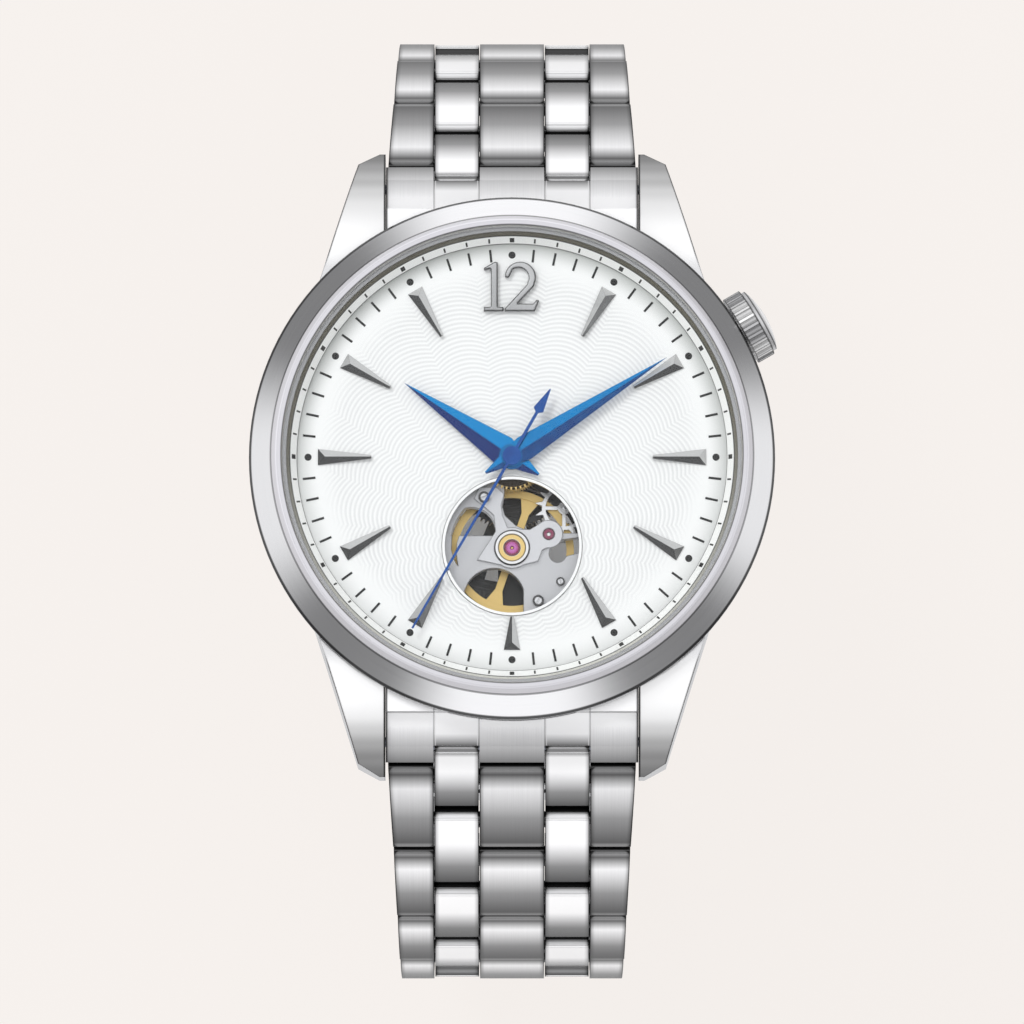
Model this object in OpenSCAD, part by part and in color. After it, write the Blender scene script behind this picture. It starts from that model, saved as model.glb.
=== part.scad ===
// Automatic wristwatch with an open-heart dial on a five-row link bracelet.
// Origin: where the hand axis meets the flat outer face of the case back.
// +Z leaves through the dial, +Y points to 12 o'clock, +X to 3 o'clock. Millimetres.

/* [Case] */
// diameter over the bezel
bezel_d = 41.5; // [41.3:0.1:41.7]
// gap between a pair of lugs
lug_gap = 20; // [19.9:0.1:20.1]
// length over the lug tips
lug_to_lug = 49.6; // [49.4:0.1:50]
// crystal thickness
crystal_t = 1.2; // [1:0.1:1.3]

/* [Dial] */
// diameter of the visible dial
dial_open_d = 33.9; // [33.6:0.1:34]
// radius of the open-heart aperture
heart_r = 5.3; // [5.1:0.05:5.4]
// radius where the minute dots sit
dot_r = 16.08; // [15.9:0.02:16.1]
// inner radius of the hour markers
marker_in = 11.1; // [11:0.05:11.6]
// outer radius of the hour markers
marker_out = 15.3; // [15.1:0.05:15.4]

/* [Hands] */
// hour hand length from the axis
hour_len = 10.3; // [9.6:0.1:10.6]
// minute hand length from the axis
minute_len = 14.5; // [13.5:0.1:15]
// seconds hand length from the axis
second_len = 15.8; // [15:0.1:16]
// clock angle of the hour hand
hour_at = 304.5; // [300:0.5:309]
// clock angle of the minute hand
minute_at = 57.3; // [54:0.1:60]
// clock angle of the seconds hand
second_at = 209.8; // [206:0.1:214]

/* [Bracelet] */
// pitch of the links between their pivots
pitch = 8.7; // [8.65:0.01:8.75]
// height of a link above its pivot
link_up = 1.75; // [1.7:0.01:1.8]
// depth of a link below its pivot
link_down = 1.35; // [1.3:0.01:1.4]
// gap between two rows of blocks
row_gap = 0.08; // [0.06:0.01:0.12]
// running clearance on every hinge pin
fit = 0.03; // [0.02:0.005:0.05]

/* [Show] */
// piece to draw

/* [Hidden] */
$fn = 96;
case_fn = 180;

// ---- colours
steel = [0.78, 0.78, 0.80];
plate = [0.72, 0.72, 0.74];
gold = [0.90, 0.74, 0.38];
ruby = [0.70, 0.08, 0.25];
blue = [0.05, 0.35, 0.80];
glass = [0.85, 0.92, 0.95, 0.35];
gasket_white = [0.9, 0.9, 0.88];
dial_white = [0.95, 0.95, 0.94];
holder_grey = [0.85, 0.85, 0.82];
spring_grey = [0.5, 0.52, 0.56];
rotor_grey = [0.76, 0.75, 0.73];
hairspring_blue = [0.25, 0.3, 0.5];

// ---- shared case sizes and levels
bezel_r = bezel_d / 2;
bore_r = 17.3;
lug_tip_y = lug_to_lug / 2;
crystal_z = 9.75;
crystal_top = crystal_z + crystal_t;
dial_z = 7.85;
dial_top = 8.25;
marker_z = dial_top + 0.02;
crown_at = 30;
stem_z = 5.0;

// ---- shared movement levels
plate_z = 5.7;
plate_top = 6.9;
post_top = plate_z - 0.02;
heart_z = plate_top + 0.02;
heart_top = 7.18;
bridge_z = 2.75;
bridge_top = 3.55;
// escape wheel and pallet fork lie between these levels
escape_z = 4.85;
escape_top = 5.03;

// ---- gearing: tooth counts, and sizes as pitch diameter per tooth
pinion_addendum = 0.7;
barrel_teeth = 84;
barrel_size = 0.1375;
centre_leaves = 12;
ratchet_teeth = 40;
ratchet_size = 0.14;
rotor_teeth = 24;
reduction_teeth = 35;
rotor_size = 0.12;
centre_teeth = 80;
third_leaves = 10;
centre_size = 0.06;
third_teeth = 75;
fourth_leaves = 10;
third_size = centre_size * (centre_teeth + third_leaves) / (third_teeth + fourth_leaves);
fourth_teeth = 84;
escape_leaves = 7;
fourth_size = 0.1205;
cannon_leaves = 12;
minute_teeth = 36;
minute_size = 0.125;
minute_leaves = 10;
hour_teeth = 40;
hour_size = minute_size * (minute_teeth + cannon_leaves) / (hour_teeth + minute_leaves);

// ---- arbor positions [x, y]
function unit(angle) = [cos(angle), sin(angle)];
function angle_of(vector) = atan2(vector[1], vector[0]);
function spacing(size, teeth, mate) = size * (teeth + mate) / 2;
balance_xy = [0, -7.06];
pallet_xy = [2.9, -5.96];
escape_xy = [4.11, -3.63];
third_xy = spacing(centre_size, centre_teeth, third_leaves) * unit(165);
barrel_xy = spacing(barrel_size, barrel_teeth, centre_leaves) * unit(95);
reduction_xy = spacing(rotor_size, reduction_teeth, rotor_teeth) * unit(111.5);
minute_xy = spacing(minute_size, minute_teeth, cannon_leaves) * unit(120);
// pallet arbor as seen from the balance
pallet_offset = pallet_xy - balance_xy;

// ---- helpers
module at_xy(position) translate([position[0], position[1], 0]) children();
module disc(radius, bottom, top) translate([0, 0, bottom]) cylinder(r = radius, h = top - bottom);
// coaxial discs, each [radius, bottom, top]
module discs(steps) for (step = steps) disc(step[0], step[1], step[2]);
module tube(outer, inner, bottom, top) difference() {
  disc(outer, bottom, top);
  disc(inner, bottom - 1, top + 1);
}
module ring(outer, inner) difference() {
  circle(r = outer);
  circle(r = inner);
}
module slab(bottom, top) translate([0, 0, bottom]) linear_extrude(top - bottom) children();
// prism along X of a [y, z] outline
module x_prism(start, end) translate([start, 0, 0]) rotate([90, 0, 90])
  linear_extrude(end - start) children();
module x_rod(radius, start, end, y = 0, z = 0) translate([start, y, z]) rotate([0, 90, 0])
  cylinder(r = radius, h = end - start);
module x_bar(radius, half, y = 0, z = 0) x_rod(radius, -half, half, y, z);
module both_sides() for (m = [0, 1]) mirror([m, 0, 0]) children();
// turned case part from a [radius, z] section
module turned(section) rotate_extrude($fn = case_fn) polygon(section);
// toothed disc with a tooth on the +X axis
module gear(teeth, size, bottom, top, addendum = 0.9) {
  step = 360 / teeth;
  root_r = (teeth / 2 - 1.1) * size;
  tip_r = (teeth / 2 + addendum) * size;
  root_half = step * 0.42 * 0.62;
  tip_half = step * 0.42 * 0.26;
  slab(bottom, top) polygon([for (i = [0:teeth - 1]) each [
    root_r * unit(i * step - root_half), tip_r * unit(i * step - tip_half),
    tip_r * unit(i * step + tip_half), root_r * unit(i * step + root_half)]]);
}
// turn a gear so a tooth, or a gap, faces an angle
module tooth_to(angle) rotate([0, 0, angle]) children();
module gap_to(angle, teeth) rotate([0, 0, angle + 180 / teeth]) children();
// openings left between the spokes of a wheel
module spoke_gaps(count, hub, rim, width) difference() {
  ring(rim, hub);
  for (i = [0:count - 1]) rotate(i * 360 / count) translate([0, -width / 2])
    square([rim + 1, width]);
}
// slotted screw with the outer face of its head at level z
module screw(position, turn, radius, z, head, shank, down = false)
  at_xy(position) rotate([0, 0, turn]) translate([0, 0, z]) mirror([0, 0, down ? 1 : 0])
  difference() {
    discs([[radius, -head, 0], [radius * 0.45, -head - shank, -head]]);
    translate([-radius - 1, -radius * 0.12, -head * 0.45])
      cube([2 * radius + 2, radius * 0.24, 1]);
  }
// moves +Z onto the crown axis, which points to 2 o'clock
module along_stem() translate([0, 0, stem_z]) rotate([0, 0, crown_at]) rotate([0, 90, 0])
  children();

// ---- case
// [x, y] and [y, z]
lug_plan = [[lug_gap / 2, 12], [15.9, 12], [12.15, 23.85], [10.45, lug_tip_y],
  [lug_gap / 2, lug_tip_y]];
lug_side = [[11, 1.1], [18, 1.1], [21, 0.45], [24.3, 0.45], [30, 3], [30, 7], [11, 7]];
// case sections, [radius, z]
bezel_section = [[17.8, 9.3], [18.3, 9.3], [18.3, 7.05], [20.35, 7.05], [bezel_r, 7.4],
  [bezel_r, 7.75], [20.62, 8.0], [19.08, 9.72], [19.0, 9.85], [18.75, 10.5], [18.55, 10.68],
  [18.18, 10.72], [18.18, 10.5], [18.52, 10.5], [18.52, 9.72], [17.8, 9.72]];
crystal_section = [[0, crystal_z], [18.1, crystal_z], [18.1, crystal_top - 0.22],
  [17.88, crystal_top], [0, crystal_top]];
rehaut_section = [[dial_open_d / 2, marker_z], [18.2, marker_z], [18.2, 9.2], [18.1, 9.27],
  [17.7, 9.27], [dial_open_d / 2, dial_top + 0.12]];
back_section = [[12.4, 0], [17.9, 0], [18.4, 0.3], [18.4, 0.92], [17.22, 0.92], [17.22, 2.2],
  [15.9, 2.2], [15.9, 1.6], [13.0, 1.6], [13.0, 0.42], [12.4, 0.42]];
window_section = [[0, 0], [12.35, 0], [12.35, 0.44], [12.95, 0.44], [12.95, 1.3],
  [12.8, 1.45], [0, 1.45]];
tube_r = 1.0;
tube_bore_r = 0.62;

module lug() intersection() {
  slab(-1, 9) polygon(lug_plan);
  x_prism(0, 30) intersection() {
    polygon(lug_side);
    // flat over the case, then an arc falling to the tip
    union() {
      square([17, 7]);
      translate([17, -2.905]) circle(r = 9.905, $fn = case_fn);
    }
  }
}
module case_middle() color(steel) difference() {
  union() {
    // barrel-shaped flank
    rotate_extrude($fn = case_fn) intersection() {
      translate([bore_r, 0.95]) square([3.4, 6.05]);
      translate([13.4, 4.6]) circle(r = 7.0, $fn = case_fn);
    }
    both_sides() for (m = [0, 1]) mirror([0, m, 0]) lug();
    // crown tube
    along_stem() tube(tube_r, tube_bore_r, 17.5, 21.3);
  }
  disc(bore_r, -1, 9);
  // stem hole and crown recess
  along_stem() disc(tube_bore_r, 15, 24);
  along_stem() tube(3.05, tube_r, 20.2, 24);
  // spring-bar holes
  for (side = [-1, 1]) x_bar(0.45, 11.2, side * pivots[0][0], pivots[0][1]);
}
module bezel() color(steel) turned(bezel_section);
module crystal() color(glass) turned(crystal_section);
module crystal_gasket() color(gasket_white) rotate_extrude($fn = case_fn)
  translate([18.12, crystal_z + 0.01]) square([0.38, 0.7]);
module rehaut_ring() color(steel) turned(rehaut_section);
module movement_holder() color(holder_grey) difference() {
  tube(17.25, 13.05, 3.4, dial_z - 0.02);
  along_stem() disc(0.9, 10, 20);
}
module case_back() color(steel) difference() {
  turned(back_section);
  // opener notches
  for (i = [0:5]) rotate([0, 0, i * 60 + 15]) translate([16.6, -0.9, -1]) cube([2.4, 1.8, 1.45]);
}
module case_back_window() color(glass) turned(window_section);

// ---- dial and markers
mark_z = dial_top - 0.1;
mark_top = dial_top + 0.03;

module dial() color(dial_white) difference() {
  union() {
    disc(17.2, dial_z, dial_top);
    // raised rim round the aperture
    at_xy(balance_xy) tube(heart_r + 0.22, heart_r, dial_z, dial_top + 0.12);
    // minute track: a dot every five minutes, dashes between
    for (i = [0:59]) rotate([0, 0, i * 6])
      if (i % 5 == 0) translate([0, dot_r, 0]) disc(0.28, mark_z, mark_top);
      else translate([-0.09, dot_r - 0.5, mark_z]) cube([0.18, 1.0, mark_top - mark_z]);
  }
  disc(1.0, 0, 12);
  at_xy(balance_xy) disc(heart_r, 0, 12);
}
// one faceted wedge along +Y
module wedge(inner, outer) {
  inner_half = 0.13;
  outer_half = 0.64;
  height = 0.42;
  intersection() {
    slab(0, 1) polygon([[-inner_half, inner], [inner_half, inner], [outer_half, outer],
      [-outer_half, outer]]);
    // ridge along the middle
    rotate([-90, 0, 0]) slab(inner - 1, outer + 1)
      polygon([[-0.8, 0], [0.8, 0], [0.8, 0.02], [0, -height], [-0.8, 0.02]]);
    // sloped outer end
    x_prism(-2, 2) polygon([[inner - 1, -0.1], [outer, -0.1], [outer, 0.06],
      [outer - 0.62, height + 0.05], [inner - 1, height + 0.05]]);
  }
}
// strokes of the 12, [x, y]
one_stem = [[-1.66, 11.75], [-1.13, 11.75], [-1.13, 15.45], [-1.35, 15.5], [-2.22, 15.0],
  [-2.2, 14.84], [-1.66, 14.97]];
two_arch_limit = [[-1, 14.6], [-1, 16], [3, 16], [3, 13.9], [1.2, 13.9], [0.9, 14.1]];
two_tip = [[-0.55, 14.3], [-0.25, 14.25], [0.05, 14.9], [-0.4, 14.85]];
two_diagonal = [[1.86, 14.05], [1.25, 14.0], [1.2, 13.7], [-0.56, 11.78], [-0.56, 11.58],
  [0.35, 12.1], [1.72, 13.55]];
two_base = [[-0.56, 11.58], [1.8, 11.58], [2.13, 12.42], [1.92, 12.46], [1.7, 12.16],
  [-0.1, 12.16]];
module numeral_12() slab(0, 0.4) {
  polygon(one_stem);
  translate([-2.22, 11.58]) square([1.54, 0.32]);
  intersection() {
    difference() {
      translate([0.66, 14.28]) circle(r = 1.22);
      translate([0.5, 14.22]) circle(r = 0.82);
    }
    polygon(two_arch_limit);
  }
  polygon(two_tip);
  polygon(two_diagonal);
  polygon(two_base);
}
module hour_markers() color(steel) translate([0, 0, marker_z]) {
  for (i = [1:11]) if (i != 6) rotate([0, 0, -i * 30]) wedge(marker_in, marker_out);
  // shorter marker at 6, below the aperture
  rotate([0, 0, 180]) wedge(12.7, marker_out);
  numeral_12();
}

// ---- crown and stem, drawn along +Z; distances run out from the hand axis
crown_in = 20.88;
crown_out = 22.3;
dome_r = 7;
// [radius, start, end]
stem_steps = [[0.4, 19.0, 21.88], [0.55, 12.4, 19.0], [0.38, 11.6, 12.4], [0.55, 10.2, 11.6]];

module crown() color(steel) along_stem() difference() {
  union() {
    // grip with scalloped edge
    slab(crown_in, crown_out) difference() {
      circle(r = 2.85);
      for (i = [0:23]) rotate(i * 15) translate([2.98, 0]) circle(r = 0.27, $fn = 24);
    }
    // domed end
    rotate_extrude() intersection() {
      translate([0, crown_out]) square([2.6, 0.9]);
      translate([0, crown_out + 0.85 - dome_r]) circle(r = dome_r, $fn = 180);
    }
    disc(1.98, 20.3, 22.4);
  }
  // room for the crown tube and the stem
  tube(1.9, 0.5, 20, 21.6);
  disc(0.42, 20, 21.9);
}
module winding_stem() color(plate) along_stem() {
  discs(stem_steps);
  // square end that drives the winding pinion
  translate([-0.28, -0.28, 7.4]) cube([0.56, 0.56, 2.9]);
}
module winding_pinion() color(plate) along_stem() difference() {
  union() {
    gear(12, 0.13, 8.7, 9.2);
    disc(0.62, 7.9, 9.9);
  }
  translate([-0.31, -0.31, 7]) cube([0.62, 0.62, 4]);
}

// ---- plates and bridges
// dial-side screws: [x, y from the balance, slot angle, head radius, head top,
// head height, shank length, hole radius]
heart_screws = [
  [-2.2, 4.0, 20, 0.45, 7.5, 0.3, 0.5, 0.24],
  [2.07, -4.19, 65, 0.45, 7.2, 0.28, 0.4, 0.24],
  [3.82, -2.66, 110, 0.34, 7.15, 0.24, 0.4, 0.2]];
// train bridge posts: [x, y, slot angle of the screw]
bridge_posts = [[9.2, 0, 10], [-9.2, -1.5, 50], [8.8, 3.2, 80], [-8.6, 3.7, 140]];
jewel_r = 0.45;
jewel_hole_r = 0.47;
// outlines about the balance axis, [x, y]
left_slit = [[-4.72, 1.3], [-4.1, 1.3], [-4.36, 0.4], [-4.42, -0.4], [-4.24, -1.45],
  [-4.58, -0.9], [-4.78, -0.1]];
upper_window = [[-0.6, 7], [-0.6, 4.2], [-0.75, 3.3], [-0.55, 2.6], [0.3, 1.8], [1.0, 1.5],
  [2.9, 1.2], [6, 1.2], [6, 7]];
right_window = [[3.0, 0.0], [3.4, 0.6], [5.9, 0.95], [5.9, -0.2], [4.2, -0.65]];
bridge_to_pallet = [[0.2, 1.5], [1.4, 1.45], [2.5, 2.1], [3.6, 0.3], [2.4, -0.15],
  [2.05, -1.05], [0.9, -1.35], [0, 0]];
bridge_to_screw = [[-0.3, 1.5], [-0.75, 2.6], [-0.85, 3.4], [-0.62, 4.3], [-1.2, 4.8],
  [-2.6, 4.8], [-3.0, 3.9], [-2.3, 3.35], [-1.45, 2.6], [-1.3, 1.3], [-2.75, -0.95],
  [-0.9, -1.35], [0, 0]];
// [radius, z]
setting_section = [[0.66, 6.93], [1.36, 6.93], [1.36, 7.32], [1.3, 7.4], [1.12, 7.4],
  [1.08, 7.28], [0.7, 7.28], [0.66, 7.2]];

module plate_hole(position, radius) at_xy(position) disc(radius, 5, 8);
module bridge_hole(position, radius) at_xy(position) disc(radius, 2, 4);
// openings of the main plate, drawn about the balance axis
module heart_windows() {
  window_r = 5.6;
  // upper left
  intersection() {
    translate([-3.2, 1.35]) circle(r = 1.9);
    circle(r = 4.9);
    translate([-6, 1.0]) square([6, 6]);
  }
  polygon(left_slit);
  // top and upper right, round the pallet jewel boss
  difference() {
    intersection() {
      circle(r = window_r);
      polygon(upper_window);
    }
    at_xy(pallet_offset) circle(r = 1.15);
  }
  // right
  difference() {
    intersection() {
      circle(r = window_r);
      union() {
        translate([3.6, -0.45]) circle(r = 0.68);
        polygon(right_window);
      }
    }
    at_xy(pallet_offset) circle(r = 0.7);
  }
  // bottom
  intersection() {
    circle(r = window_r);
    translate([-7, -7]) square([7.9, 7]);
    union() {
      translate([-1.4, -4.0]) circle(r = 2.42);
      translate([-3.8, -6]) square([6, 2.1]);
    }
  }
}
module main_plate() color(plate) difference() {
  union() {
    disc(13.0, plate_z, plate_top);
    tube(13.0, 12.3, 3.6, 5.8);
  }
  // stem way
  along_stem() discs([[0.75, 5.5, 14], [1.0, 7.7, 10.1]]);
  // barrel recess
  at_xy(barrel_xy) discs([[5.48, 5.0, 6.55], [6.05, 5.2, 5.7]]);
  // arbor and jewel holes
  plate_hole(barrel_xy, 0.46);
  plate_hole([0, 0], 0.62);
  plate_hole(third_xy, 0.14);
  plate_hole(escape_xy, 0.14);
  plate_hole(pallet_xy, jewel_hole_r);
  plate_hole(balance_xy, 0.67);
  at_xy(minute_xy) disc(0.3, 6.3, 8);
  at_xy(balance_xy) slab(5, 8) heart_windows();
  // screw holes
  at_xy(balance_xy) for (spot = heart_screws) at_xy(spot) disc(spot[7], 6.2, 8);
}
module heart_bridge() color(plate) at_xy(balance_xy) difference() {
  union() {
    disc(1.62, heart_z, heart_top);
    at_xy(pallet_offset) disc(1.1, heart_z, heart_top);
    slab(heart_z, heart_top) polygon(bridge_to_pallet);
    slab(heart_z, heart_top) polygon(bridge_to_screw);
  }
  disc(1.4, 6, 8);
  at_xy(pallet_offset) disc(jewel_hole_r, 6, 8);
  at_xy(heart_screws[0]) disc(heart_screws[0][7], 6, 8);
}
// ring round the balance jewel on the dial side
module heart_setting() color(gold) at_xy(balance_xy) rotate_extrude() polygon(setting_section);
module train_bridge() color(plate) difference() {
  union() {
    difference() {
      disc(9.9, bridge_z, bridge_top);
      // room for the balance, its cock and the spring
      bridge_hole(balance_xy, 5.3);
      translate([-6, -14, 2]) cube([12, 8, 3]);
    }
    // posts up to the main plate
    for (post = bridge_posts) at_xy(post) disc(0.65, bridge_z, post_top);
  }
  // rotor stud, arbor, jewel and screw holes
  bridge_hole([0, 0], 0.9);
  bridge_hole(barrel_xy, 0.86);
  bridge_hole(reduction_xy, jewel_hole_r);
  bridge_hole(escape_xy, jewel_hole_r);
  for (post = bridge_posts) at_xy(post) disc(0.28, 2, 3.9);
}
module balance_cock() {
  foot_r = 12.25;
  foot_half = 4.2;
  arm_half = 1.1;
  color(plate) difference() {
    union() {
      slab(bridge_z, bridge_top) {
        at_xy(balance_xy) circle(r = 1.5);
        difference() {
          translate([-arm_half, -10.1]) square([2 * arm_half, 3.2]);
          at_xy(balance_xy) circle(r = 1.4);
        }
      }
      // thinner part above the rotor's rim
      slab(3.28, bridge_top) {
        translate([-arm_half, -11.6]) square([2 * arm_half, 1.6]);
        intersection() {
          ring(foot_r, 10.9);
          translate([-foot_half, -14]) square([2 * foot_half, 6]);
        }
      }
      // foot against the main plate, outside the balance rim
      intersection() {
        slab(3.5, post_top) difference() {
          circle(r = foot_r);
          at_xy(balance_xy) circle(r = 5.05);
        }
        translate([-foot_half, -14, 3]) cube([2 * foot_half, 2.9, 4]);
      }
    }
    bridge_hole(balance_xy, jewel_hole_r);
  }
}
module jewels() color(ruby) {
  // dial side: balance and pallet jewels
  at_xy(balance_xy) tube(0.65, 0.12, 6.55, 7.22);
  at_xy(pallet_xy) tube(jewel_r, 0.17, 6.5, 7.2);
  // back side: balance, escape and reduction jewels
  for (position = [balance_xy, escape_xy, reduction_xy])
    at_xy(position) tube(jewel_r, 0.12, 2.8, 3.4);
}
module bridge_screws() color(steel) {
  at_xy(balance_xy) for (spot = heart_screws)
    screw(spot, spot[2], spot[3], spot[4], spot[5], spot[6]);
  for (post = bridge_posts) screw(post, post[2], 0.6, 2.38, 0.35, 0.9, down = true);
}

// ---- power
drum_z = 5.38;
drum_top = 6.48;
reduction_z = 2.2;
rotor_z = 1.86;
rotor_r = 12.6;

module barrel() color(gold) at_xy(barrel_xy) {
  tooth_to(angle_of(-barrel_xy)) difference() {
    gear(barrel_teeth, barrel_size, drum_z, 5.58);
    disc(5.0, 5, 6);
  }
  // wall, floor and lid
  tube(5.3, 5.05, drum_z, drum_top);
  tube(5.1, 0.7, drum_z, 5.52);
  tube(5.1, 0.7, 6.3, drum_top);
}
// nine separate rings stand for the coils
module mainspring() color(spring_grey) at_xy(barrel_xy) for (i = [0:8])
  tube(1.15 + i * 0.43, 1.05 + i * 0.43, 5.56, 6.26);
module ratchet_wheel() color(steel) at_xy(barrel_xy) {
  difference() {
    gap_to(angle_of(reduction_xy - barrel_xy), ratchet_teeth)
      gear(ratchet_teeth, ratchet_size, 2.45, 2.62);
    disc(0.3, 2, 2.52);
  }
  // barrel arbor
  discs([[0.8, 2.6, 5.4], [0.65, 5.3, 6.5], [0.42, 6.4, 6.85]]);
}
module reduction_wheel() color(gold) at_xy(reduction_xy) {
  gap_to(angle_of(-reduction_xy), reduction_teeth) difference() {
    gear(reduction_teeth, rotor_size, reduction_z, 2.38);
    slab(2, 3) spoke_gaps(5, 0.75, 1.75, 0.3);
  }
  tooth_to(angle_of(barrel_xy - reduction_xy)) gear(8, ratchet_size, 2.38, 2.64);
  disc(0.1, 1.95, 3.3);
}
module rotor_stud() color(steel) {
  difference() {
    disc(1.25, 1.52, 1.78);
    // three blind holes in the head
    for (i = [0:2]) rotate([0, 0, i * 120]) translate([0.75, 0, 0]) disc(0.16, 1, 1.66);
  }
  disc(0.88, 1.75, 3.5);
}
// the half of the plane that the rotor fills
module rotor_half() translate([-13, -13]) square([26, 13.6]);
module rotor() color(rotor_grey) difference() {
  union() {
    // thin web over half a turn
    slab(rotor_z, 2.08) difference() {
      intersection() {
        circle(r = rotor_r);
        union() {
          rotor_half();
          circle(r = 2.3);
        }
      }
      // three windows
      for (angle = [-126, -90, -54]) intersection() {
        ring(9.2, 4.2);
        rotate(angle) translate([3, 0]) polygon([[0, -0.7], [7, -2.4], [7, 2.4], [0, 0.7]]);
      }
    }
    // heavy rim
    slab(rotor_z, 3.15) intersection() {
      ring(rotor_r, 10.3);
      rotor_half();
    }
    disc(1.25, rotor_z, 2.38);
    tooth_to(angle_of(reduction_xy)) gear(rotor_teeth, rotor_size, reduction_z, 2.36);
  }
  disc(0.93, 1, 4);
  // sink for the stud's head
  rotate_extrude() polygon([[0, 1.5], [1.35, 1.5], [1.35, 1.9], [0, 1.9]]);
}

// ---- going train
module centre_wheel() color(gold) difference() {
  union() {
    tooth_to(angle_of(third_xy)) difference() {
      gear(centre_teeth, centre_size, 5.15, 5.3);
      slab(5, 6) spoke_gaps(5, 0.85, 2.1, 0.3);
    }
    gap_to(angle_of(barrel_xy), centre_leaves)
      gear(centre_leaves, barrel_size, 5.3, 5.68, pinion_addendum);
    disc(0.58, 5.15, 7.0);
    // cannon pinion and the tube that carries the minute hand
    gap_to(angle_of(minute_xy), cannon_leaves)
      gear(cannon_leaves, minute_size, 7.0, 7.3, pinion_addendum);
    disc(0.5, 7.0, 9.02);
  }
  disc(0.26, 5, 12);
}
module third_wheel() color(gold) at_xy(third_xy) {
  difference() {
    tooth_to(angle_of(-third_xy)) gear(third_teeth, third_size, 4.6, 4.78);
    slab(4, 5) spoke_gaps(5, 0.6, 2.05, 0.3);
  }
  gap_to(angle_of(-third_xy), third_leaves)
    gear(third_leaves, centre_size, 5.0, 5.34, pinion_addendum);
  discs([[0.2, 4.4, 5.0], [0.1, 4.4, 5.9]]);
}
module fourth_wheel() color(gold) {
  gap_to(angle_of(third_xy), fourth_leaves)
    gear(fourth_leaves, third_size, 4.3, 5.05, pinion_addendum);
  tooth_to(angle_of(escape_xy)) difference() {
    gear(fourth_teeth, fourth_size, 3.8, 3.98);
    slab(3, 5) spoke_gaps(5, 0.9, 4.4, 0.5);
  }
  discs([[0.5, 3.65, 4.3], [0.22, 4.3, 9.3]]);
}

// ---- escapement
// corners of one escape tooth, [radius, angle]
escape_tooth = [[1.75, 6], [1.78, 19], [2.28, 25.6], [2.3, 27]];
// directions from the pallet arbor
to_escape = angle_of(escape_xy - pallet_xy);
to_balance = angle_of(balance_xy - pallet_xy);

module escape_wheel() color(steel) at_xy(escape_xy) {
  slab(escape_z, escape_top) difference() {
    polygon([for (i = [0:14], corner = escape_tooth) corner[0] * unit(i * 24 + corner[1])]);
    spoke_gaps(4, 0.5, 1.45, 0.3);
  }
  gap_to(angle_of(-escape_xy), escape_leaves)
    gear(escape_leaves, fourth_size, 3.7, 4.1, pinion_addendum);
  discs([[0.25, 4.1, 4.9], [0.1, 2.85, 5.9]]);
}
// children on the escape axis, as met through the whole swing of the fork
module over_swing() for (swing = [-5, 0, 5]) rotate([0, 0, swing])
  at_xy(escape_xy - pallet_xy) children();
module pallet_fork() {
  clear_r = 2.36;
  arm_spread = 80;
  color(steel) at_xy(pallet_xy) {
    slab(escape_z, escape_top) difference() {
      union() {
        circle(r = 0.42);
        // arms to the two pallet stones
        for (side = [-1, 1]) rotate(to_escape + side * arm_spread) translate([0, -0.2])
          square([1.35, 0.4]);
        // lever to the balance
        rotate(to_balance) translate([0, -0.17]) square([2.15, 0.34]);
        rotate(to_balance) translate([1.95, -0.36]) square([0.62, 0.72]);
      }
      // fork slot
      rotate(to_balance) translate([2.22, -0.15]) square([1, 0.3]);
      over_swing() circle(r = clear_r);
    }
    disc(0.15, 4.68, 6.95);
    // stones
    difference() {
      for (side = [-1, 1]) rotate([0, 0, to_escape + side * arm_spread])
        translate([1.05, 0, 4.83]) rotate([0, 0, -side * 65])
        translate([0, -0.12, 0]) cube([0.5, 0.24, 0.22]);
      over_swing() disc(clear_r, 4.7, 5.2);
    }
  }
}
module balance_wheel() color(gold) at_xy(balance_xy) {
  // arms that widen towards the rim
  rotate([0, 0, 71]) slab(4.2, 4.42) {
    translate([-4.5, -0.3]) square([9, 0.6]);
    circle(r = 0.75);
    for (angle = [0, 180]) rotate(angle)
      polygon([[3.2, -0.3], [4.6, -0.85], [4.6, 0.85], [3.2, 0.3]]);
  }
  tube(4.9, 4.3, 4.15, 4.6);
  // poise screws
  for (angle = [0:30:330]) rotate([0, 0, angle + 26]) translate([4.85, 0, 4.38])
    rotate([0, 90, 0]) cylinder(r = 0.13, h = 0.2, $fn = 24);
  // staff, roller and impulse pin
  discs([[0.2, 3.5, 5.6], [0.09, 2.85, 7.1], [0.85, 4.5, 4.66]]);
  rotate([0, 0, to_balance + 180]) translate([0.62, 0, 0]) disc(0.1, 4.6, 5.0);
}
module hairspring() color(hairspring_blue) at_xy(balance_xy) {
  // collet
  tube(0.5, 0.22, 3.7, 3.95);
  // half turns of growing radius, alternately on either side
  slab(3.72, 3.9) for (i = [0:9]) rotate(i * 180) intersection() {
    translate([0.06, 0]) ring(0.6 + i * 0.12, 0.56 + i * 0.12);
    translate([-3, 0]) square([6, 3]);
  }
  // bridge from the collet to the first turn
  slab(3.72, 3.9) translate([0.46, -0.03]) square([0.22, 0.06]);
}

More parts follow.
